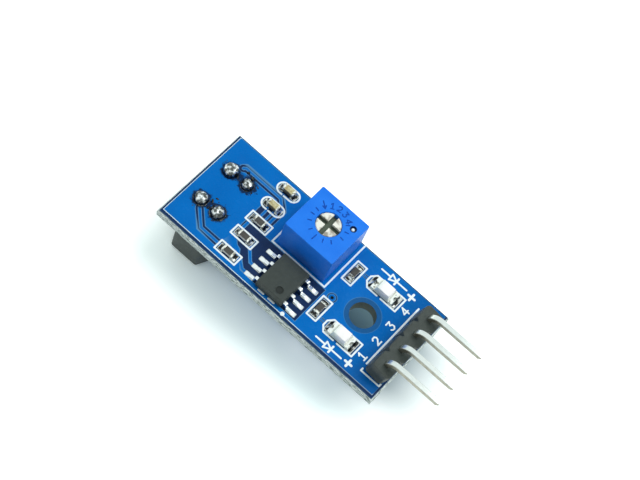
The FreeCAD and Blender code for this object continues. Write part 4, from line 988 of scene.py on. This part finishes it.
# Painted shade: the capacitors' sides are painted darker than their tops.
tan.colour(tan.mix(paint(92, 82, 56), tan_top, tan.facing("Z").above(0.2, 0.7)))
tan.relief(tan.grain(0.07), 0.01)
cap_metal = Finish("cap_metal", paint(190, 186, 170), 0.32, Metallic=1.0)
mottle = cap_metal.grain(0.3, 4.0).above(0.36, 0.6)
cap_metal.colour(cap_metal.mix(paint(96, 90, 74), paint(250, 248, 236), mottle))
cap_metal.relief(cap_metal.grain(0.1), 0.03)


def chip_caps(name, place, height, band):
    """The metal caps of one chip. The band is how far they reach along it."""
    caps = bmesh.new()
    for near, far in ((-CHIP_END, band - CHIP_END), (CHIP_END - band, CHIP_END)):
        soft_block(caps, near, far, -CAP_HALF, CAP_HALF, PAD_TOP, PAD_TOP + height, 0.07, 0.07)
    finished(name, standing(caps, *place), [cap_metal])


for number, place in enumerate(RESISTORS, start=1):
    body = soft_block(bmesh.new(), *CORE, CORE_BASE, 0.47, 0.03, 0.02)
    core_faces = len(body.faces)
    soft_block(body, -0.52, 0.52, *CORE[2:], 0.44, 0.51, 0.05, 0.03)
    for face in list(body.faces)[core_faces:]:
        face.material_index = 1
    finished(f"resistor_{number}_body", standing(body, *place), [ceramic, coat])
    chip_caps(f"resistor_{number}_ends", place, 0.45, 0.3)
for number, place in enumerate(CAPACITORS, start=1):
    body = soft_block(bmesh.new(), *CORE, CORE_BASE, 0.82, 0.06, 0.05)
    finished(f"capacitor_{number}_body", standing(body, *place), [tan])
    chip_caps(f"capacitor_{number}_ends", place, 0.8, 0.27)

chip_tin = Finish("chip_tin", paint(120, 118, 110), 0.3, Metallic=1.0)
pools = chip_tin.grain(0.45, 4.0)
chip_tin.colour(chip_tin.mix(paint(48, 48, 46), paint(232, 234, 228), pools.above(0.46, 0.66)))
chip_tin.roughness(0.2 + pools * 0.2)
chip_tin.relief(chip_tin.grain(0.12), 0.02)
fillets = bmesh.new()
for places, start, half, height in ((RESISTORS, 0.79, CAP_HALF, 0.32), (CAPACITORS, 0.79, CAP_HALF, 0.45),
                                    (LEDS, 1.58, 0.76, 0.3)):
    for place in places:
        for side in (-1, 1):
            absorb(fillets, standing(fillet(start, 0.4, height, half, side), *place))
finished("chip_solder", fillets, [chip_tin], sharp=40)


# Indicator LEDs: a white base with a half-round plated notch at each end. A block of pale resin
# is moulded on it over the small chip that glows.
def notched(x, y, half_length, half_width, notch, steps=10):
    """A plate's outline with a half-round notch in the middle of each end."""
    points = []
    for side in (1, -1):
        end = x + side * half_length
        points.append((end, y - side * half_width))
        for step in range(steps + 1):
            turn = math.pi * step / steps
            points.append((end - side * notch * math.sin(turn), y - side * notch * math.cos(turn)))
        points.append((end, y + side * half_width))
    return points


LED_HALF = 0.8
LED_END = 1.6
BASE_LOW, BASE_HIGH = 0.08, 0.42
NOTCH = 0.3
PLATING = 0.03
base_white = Finish("led_base_white", paint(226, 230, 216), 0.4)
base_white.mottled(paint(206, 214, 196), paint(240, 243, 234), 0.4)
led_tin = Finish("led_tin", paint(236, 238, 228), 0.34, Metallic=1.0)
patches = led_tin.grain(0.3, 4.0).above(0.3, 0.48)
led_tin.colour(led_tin.mix(paint(128, 124, 106), paint(252, 253, 246), patches))
led_tin.relief(led_tin.grain(0.1), 0.02)
die_red = Finish("led_die", paint(150, 96, 80), 0.3)
for number, (x, y) in enumerate(LEDS, start=1):
    bare_base = notched(x, y, LED_END - PLATING, LED_HALF, NOTCH)
    plated_base = notched(x, y, LED_END, LED_HALF, NOTCH - PLATING)
    base = flat_shape([bare_base], BASE_LOW, BASE_HIGH)
    finished(f"led_{number}_base", base, [base_white])
    ends = bmesh.new()
    for side in (-1, 1):
        near, far = sorted((x + side * 1.1, x + side * LED_END))
        plate = rectangle(near, far, y - LED_HALF, y + LED_HALF)
        notch = circle(x + side * LED_END, y, NOTCH - PLATING, 24)
        for low in (BASE_LOW - PLATING, BASE_HIGH):
            flat_shape([plate], low, low + PLATING, [notch], ends)
        outer = [point for point in plated_base if (point[0] - x) * side > 0]
        inner = [point for point in bare_base if (point[0] - x) * side > 0]
        flat_shape([outer + inner[::-1]], BASE_LOW - PLATING, BASE_HIGH + PLATING, (), ends)
    finished(f"led_{number}_ends", ends, [led_tin])
    resin = Finish(f"led_resin_{number}", paint(244, 247, 238), 0.14, Subsurface_Weight=0.4,
                   Subsurface_Scale=0.001, Subsurface_Radius=(1, 1, 1))
    from_glow = (resin.away_from(x + 0.25, y) + resin.grain(0.3) * 0.5).above(0.8, 1.5)
    resin.colour(resin.mix(paint(255, 255, 253), paint(232, 246, 234), from_glow))
    lens = soft_block(bmesh.new(), x - 1.0, x + 1.0, y - LED_HALF, y + LED_HALF, BASE_HIGH, 1.12, 0.03, 0.04,
                      draft=0.14, under=0.0)
    finished(f"led_{number}_lens", lens, [resin])
    die = soft_block(bmesh.new(), x + 0.62, x + 0.86, y - 0.12, y + 0.12, 0.45, 0.6, 0.02, 0.01)
    finished(f"led_{number}_die", die, [die_red])


# Comparator: an eight-lead package, moulded in two drafted halves that meet at the lead frame.
# Its tinned leads are cut and bent down to their pads, and a dimple marks the first lead's corner.
def wire_section(half_a, half_b, edge):
    """A flat or square wire's section, with its corners cut off by edge."""
    upper = [(half_a, half_b - edge), (half_a - edge, half_b),
             (edge - half_a, half_b), (-half_a, half_b - edge)]
    return upper + [(-a, -b) for a, b in upper]


def bent(corners, radius, steps=8):
    """A path in an upright plane through those corners, each rounded but the ends."""
    path = [Vector(corners[0])]
    for before, here, after in zip(corners, corners[1:], corners[2:]):
        path += rounded_corner(before, here, after, radius, steps)
    return path + [Vector(corners[-1])]


def swept(path, section, tip=1.0):
    """A section run along a path in an upright plane. Its first and last loop shrink to tip."""
    loops = []
    last = len(path) - 1
    level = Vector((0, 1, 0))
    for number, point in enumerate(path):
        along = (path[min(number + 1, last)] - path[max(number - 1, 0)]).normalized()
        up = along.cross(level).normalized()
        share = tip if number in (0, last) else 1.0
        loops.append([point + (up * a + level * b) * share for a, b in section])
    shape = bmesh.new()
    stack(shape, loops)
    bmesh.ops.recalc_face_normals(shape, faces=shape.faces)
    return shape


DRAFT = math.tan(math.radians(6))
SEAM = 0.825
MARK = (COMPARATOR[0] + 0.7, COMPARATOR[1] - 1.5)
x, y = COMPARATOR
package = bmesh.new()
loops = []
for z, inset in ((0.1, 0.05), (0.14, 0.0), (0.79, 0.012), (0.81, 0.0), (0.84, 0.0), (0.86, 0.012),
                 (1.46, 0.0), (1.51, 0.012), (1.54, 0.04), (1.55, 0.09)):
    drawn = abs(z - SEAM) * DRAFT + inset
    half_x, half_y = 1.95 - drawn, 2.45 - drawn
    ring = rounded_outline(x - half_x, x + half_x, y - half_y, y + half_y, 0.12, 3)
    loops.append([(px, py, z) for px, py in ring])
stack(package, loops)
dimple = [(0.30, 1.40), (0.38, 1.41), (0.43, 1.44), (0.45, 1.52), (0.47, 1.6)]
package = carved(package, lathe(*MARK, dimple, 40))
epoxy = Finish("comparator_moulding", paint(52, 58, 55), 0.5, Specular_IOR_Level=0.3)
speck = epoxy.grain(0.03, 4.0)
dull_black = epoxy.mix(paint(38, 44, 42), paint(72, 80, 76), epoxy.grain(0.7, 3.0) * 0.4 + speck * 0.45)
# Painted shade: the first lead's dimple is painted darker inside.
epoxy.colour(epoxy.mix(paint(34, 39, 37), dull_black, epoxy.away_from(*MARK).above(0.40, 0.50)))
epoxy.relief(speck + epoxy.grain(0.09) * 0.6, 0.014)
finished("comparator_body", package, [epoxy], sharp=30)

tin = Finish("lead_tin", paint(232, 233, 230), 0.26, Metallic=1.0)
tin.mottled(paint(234, 237, 235), paint(254, 255, 253), 0.2)
tin.relief(tin.grain(0.07), 0.012)
FOOT_LEVEL = 0.15
for number, (side, y) in enumerate(GULLS, start=1):
    outline = [(1.9, SEAM), (2.35, SEAM), (2.35, FOOT_LEVEL), (3.0, FOOT_LEVEL)]
    corners = [(COMPARATOR[0] + side * out, y, z) for out, z in outline]
    gull = swept(bent(corners, 0.19), wire_section(0.1, 0.21, 0.03))
    finished(f"comparator_lead_{number}", gull, [tin], sharp=30)
toes = bmesh.new()
for side, y in GULLS:
    absorb(toes, standing(fillet(2.98, 0.72, 0.2, 0.22, side), COMPARATOR[0], y))
finished("comparator_solder", toes, [tin], sharp=40)


# Trimmer: a blue moulded case with a scale round the bore on its top. The rotor's head fills the
# bore, and its cross slot takes a screwdriver. Inside are a sprung wiper, a track plate and resin.
TRIMMER = middle("trimmer_housing")
ROTOR = tuple(round(1000 * place, 3) for place in frame["joints"][0]["pos_m"][:2])
SCALE_RISE = 0.02
TOP = round(span("trimmer_housing")[1][2] - SCALE_RISE, 3)
PIP = (TRIMMER[0] + 2.385, TRIMMER[1] + 1.7)
MARK_HALF = 0.07
x, y = TRIMMER
case = soft_block(bmesh.new(), x - 3.485, x + 3.485, y - 3.35, y + 3.35, 0.17, TOP, 0.16, 0.09, under=0.05)
for foot_x in (x - 3.035, x + 3.035):
    for foot_y in (y - 3.1, y + 3.1):
        foot = soft_block(bmesh.new(), foot_x - 0.44, foot_x + 0.44, foot_y - 0.24, foot_y + 0.24,
                          0.0, 0.3, 0.08, 0.03)
        case = carved(case, foot, "UNION")
hollow = soft_block(bmesh.new(), x - 2.985, x + 2.985, y - 2.85, y + 2.85, -0.5, 3.92, 0.2, 0.05)
bore = [(1.55, 3.8), (1.55, TOP - 0.07), (1.57, TOP - 0.03), (1.62, TOP), (1.66, TOP + 0.1)]
pip = [(0.2, 4.6), (0.33, 4.62), (0.35, 4.66), (0.35, TOP - 0.03), (0.4, TOP + 0.02), (0.42, TOP + 0.1)]
for tool in (hollow, lathe(*ROTOR, bore, 72), lathe(*PIP, pip, 32)):
    case = carved(case, tool)
blue = Finish("blue_moulding", paint(26, 120, 232), 0.36, Specular_IOR_Level=0.22)
swirl = blue.grain(2.2, 3.0)
fine = blue.grain(0.05, 3.0)
moulded = blue.mix(paint(10, 104, 218), paint(44, 136, 246), swirl * 0.7 + fine * 0.2)
# Painted shade: the small bore round the index dot is painted dark navy.
blue.colour(blue.mix(paint(4, 44, 96), moulded, blue.away_from(*PIP).above(0.38, 0.45)))
blue.roughness(0.3 + blue.grain(0.5) * 0.16)
blue.relief(fine + blue.grain(0.35) * 0.7, 0.012)
finished("trimmer_housing", case, [blue], sharp=30)

# Each mark of the scale lies towards a place, seen from the rotor's axis, and has a length
marks = []
axis = Vector(ROTOR)
for px, py, length in ((-11.43, 3.75, 0.42), (-11.42, 2.96, 0.42), (-10.97, 2.18, 0.42), (-10.25, 1.43, 0.42),
                       (-9.38, 1.01, 0.75), (-8.43, 1.3, 0.42), (-7.72, 1.86, 0.42), (-7.02, 2.95, 0.42),
                       (-7.22, 3.89, 0.42), (-7.7, 4.63, 0.42)):
    away = (Vector((px, py)) - axis).normalized()
    near = axis + away * 1.98
    marks.append(([near, near + away * length], MARK_HALF))
# An arrow points in at the rotor
away = (Vector((-11.33, 4.85)) - axis).normalized()
aside = Vector((-away.y, away.x)) * 0.2
tip = axis + away * 1.95
barb = tip + away * 0.35
marks.append(([tip, tip + away * 0.95], MARK_HALF))
marks.append(([barb + aside, tip, barb - aside], MARK_HALF))
for text, turn in zip("1234", (120, 98, 76, 54)):
    away = Vector((math.cos(math.radians(turn)), math.sin(math.radians(turn))))
    spot = axis + 2.0 * away + 0.25 * Vector((-away.y, away.x))
    marks += digit(text, *spot, 0.72, math.radians(turn - 90), 0.065)
scale_marks = flat_shape(strokes(marks, 4), TOP - 0.03, TOP + 0.018)
mark_blue = Finish("scale_blue", paint(8, 70, 166), 0.42, Specular_IOR_Level=0.22)
mark_blue.mottled(paint(2, 58, 150), paint(14, 84, 184), 0.3)
finished("trimmer_scale", scale_marks, [mark_blue])
spot_white = Finish("index_dot", paint(226, 238, 244), 0.4)
spot_white.mottled(paint(190, 214, 232), paint(246, 250, 252), 0.2)
dot = lathe(*PIP, [(0.2, 4.63), (0.21, 4.7), (0.16, 4.77), (0.07, 4.79)], 24)
finished("trimmer_index_dot", dot, [spot_white])

flange_and_head = [(1.94, 3.27), (2.0, 3.33), (2.0, 3.81), (1.94, 3.87), (1.5, 3.87), (1.5, 4.74),
                   (1.485, 4.80), (1.44, 4.85), (1.38, 4.87), (0.9, 4.885), (0.4, 4.89)]
rotor = lathe(*ROTOR, flange_and_head, 72)
x, y = ROTOR
for along, across in ((1.7, 0.3), (0.3, 1.7)):
    slot_tool = soft_block(bmesh.new(), x - along, x + along, y - across, y + across, 4.22, 5.2, 0.02, 0.02,
                           under=0.05)
    rotor = carved(rotor, slot_tool)
nylon = Finish("rotor_plastic", paint(206, 214, 200), 0.34)
pale = nylon.mix(paint(150, 146, 134), paint(232, 234, 224), nylon.grain(0.8, 3.0).above(0.34, 0.58))
# Painted shade: the rotor is painted dark below z of 4.3, down in its cross slot.
nylon.colour(nylon.mix(paint(74, 86, 70), pale, nylon.axis("Z").above(4.3, 4.75)))
nylon.relief(nylon.grain(0.1), 0.01)
finished("trimmer_rotor", rotor, [nylon], body="rotor", sharp=30)

spring_metal = Finish("wiper_metal", paint(200, 176, 120), 0.3, Metallic=1.0)
spring_metal.mottled(paint(180, 150, 96), paint(220, 198, 148), 0.3)
plate_white = Finish("track_ceramic", paint(232, 230, 222), 0.45)
plate_white.mottled(paint(222, 220, 210), paint(240, 240, 234), 0.3)
resin_dark = Finish("potting_resin", paint(48, 52, 66), 0.35)
resin_dark.mottled(paint(36, 40, 54), paint(64, 68, 84), 0.6)
resin_dark.relief(resin_dark.grain(0.5), 0.05)
for node, finish in (("trimmer_wiper", spring_metal), ("trimmer_substrate", plate_white),
                     ("trimmer_potting", resin_dark)):
    for held in frame["nodes"][node].material_slots:
        held.material = finish.material
for number in (1, 2, 3):
    upright_pin(f"trimmer_pin_{number}", 0.07, 0.06, wire)


def cone_joint(shape, x, y, pad, neck, height, seed):
    """A soldered pin under the board: solder climbs the pin in a hollow cone."""
    loops = []
    for row in range(13):
        share = row / 12
        loop = []
        for px, py in circle(0, 0, 1, 28):
            swell = 1 + 0.05 * noise.noise(Vector((px * 1.4, py * 1.4, seed + share)))
            reach = (neck + (pad - neck) * (1 - share) ** 2.0) * swell
            loop.append((x + px * reach, y + py * reach, UNDERSIDE - height * share))
        loops.append(loop[::-1])
    stack(shape, loops)


under_joints = bmesh.new()
for number, (x, y) in enumerate(TRIMMER_HOLES):
    cone_joint(under_joints, x, y, 0.84, 0.4, 0.9, number * 5.0)
finished("trimmer_solder", under_joints, [solder], sharp=60)


# Header: a black moulded strip of four cells, which leans outwards on its lower edge. Each bent
# square pin runs up through a cell, turns over in a wide arc and points away from the board.
# Each cell is a square of one pitch. The nick cuts its corners, and between cells the notch is deep.
PITCH = 2.54
HALF = PITCH / 2
STEPS = (-1.5, -0.5, 0.5, 1.5)
NICK = 0.3
DEEP = 0.46
LEAN = math.radians(12)
strip_foot = HALF * math.sin(LEAN)
# The pins cross the middle of the board's thickness on the row of holes
foot_x = HEADER_ROW + (strip_foot - UNDERSIDE / 2) * math.tan(LEAN)
lean = Matrix.Translation((foot_x, 0.0, strip_foot)) @ Matrix.Rotation(LEAN, 4, "Y")
cells = []
for step, depth in zip(STEPS, (NICK, DEEP, DEEP, DEEP)):
    y = step * PITCH
    cells += [(HALF - depth, y - HALF), (HALF, y - HALF + NICK), (HALF, y + HALF - NICK)]
cells.append((HALF - NICK, 2 * PITCH))
cells += [(-x, y) for x, y in cells[::-1]]
strip = rimmed(bmesh.new(), smooth_corners(cells, 0.07, 3), ((0.0, 0.05), (0.03, 0.015), (0.07, 0.0),
                                                             (2.46, 0.0), (2.51, 0.02), (PITCH, 0.06)))
for step in STEPS:
    y = step * PITCH
    strip = carved(strip, soft_block(bmesh.new(), -0.33, 0.33, y - 0.33, y + 0.33, -0.5, 3.0, 0.02, 0.01))
strip.transform(lean)
header_black = Finish("header_moulding", paint(46, 52, 49), 0.45, Specular_IOR_Level=0.3)
streak = header_black.grain(0.12, 4.0, (1, 0.35, 1))
streaked = header_black.grain(0.8) * 0.5 + streak * 0.35
header_black.colour(header_black.mix(paint(36, 42, 40), paint(78, 87, 83), streaked))
header_black.relief(streak + header_black.grain(0.03) * 0.5, 0.016)
finished("header_body", strip, [header_black], sharp=30)

pin_metal = Finish("pin_metal", paint(236, 238, 232), 0.22, Metallic=1.0)
drawn_lines = pin_metal.grain(0.08, 3.0, (0.15, 1, 0.15))
# Painted shade: each pin's faces that look along y are painted darker, and made rougher, than the rest.
side_shade = pin_metal.facing("Y").size().above(0.5, 0.85)
plated = pin_metal.mix(paint(204, 210, 204), paint(248, 250, 245), drawn_lines)
painted_side_shade = pin_metal.mix(paint(118, 112, 98), paint(184, 182, 168), drawn_lines)
pin_metal.colour(pin_metal.mix(plated, painted_side_shade, side_shade))
pin_metal.roughness(0.26 + drawn_lines * 0.14 + side_shade * 0.1)
TAIL = 3.2
TIP = 0.35
BEND = 1.3
BEND_STEPS = 20
REACH = 5.46
bend_low = PITCH + 0.15
outwards = Vector((math.cos(LEAN), 0, math.sin(LEAN)))
for number, step in enumerate(STEPS, start=1):
    y = step * PITCH
    path = [Vector((0, y, z)) for z in (-TAIL - TIP, -TAIL, bend_low)]
    for bend_step in range(1, BEND_STEPS + 1):
        turn = (math.pi / 2 - LEAN) * bend_step / BEND_STEPS
        path.append(Vector((BEND * (1 - math.cos(turn)), y, bend_low + BEND * math.sin(turn))))
    bend_end = path[-1]
    path += [bend_end + outwards * REACH, bend_end + outwards * (REACH + TIP)]
    pin = swept(path, wire_section(0.32, 0.32, 0.05), tip=0.55)
    pin.transform(lean)
    finished(f"header_pin_{number}", pin, [pin_metal], sharp=30)
under_joints = bmesh.new()
for number, (x, y) in enumerate(HEADER_HOLES):
    cone_joint(under_joints, x, y, 1.05, 0.52, 0.9, 40 + number * 5.0)
finished("header_solder", under_joints, [solder], sharp=60)
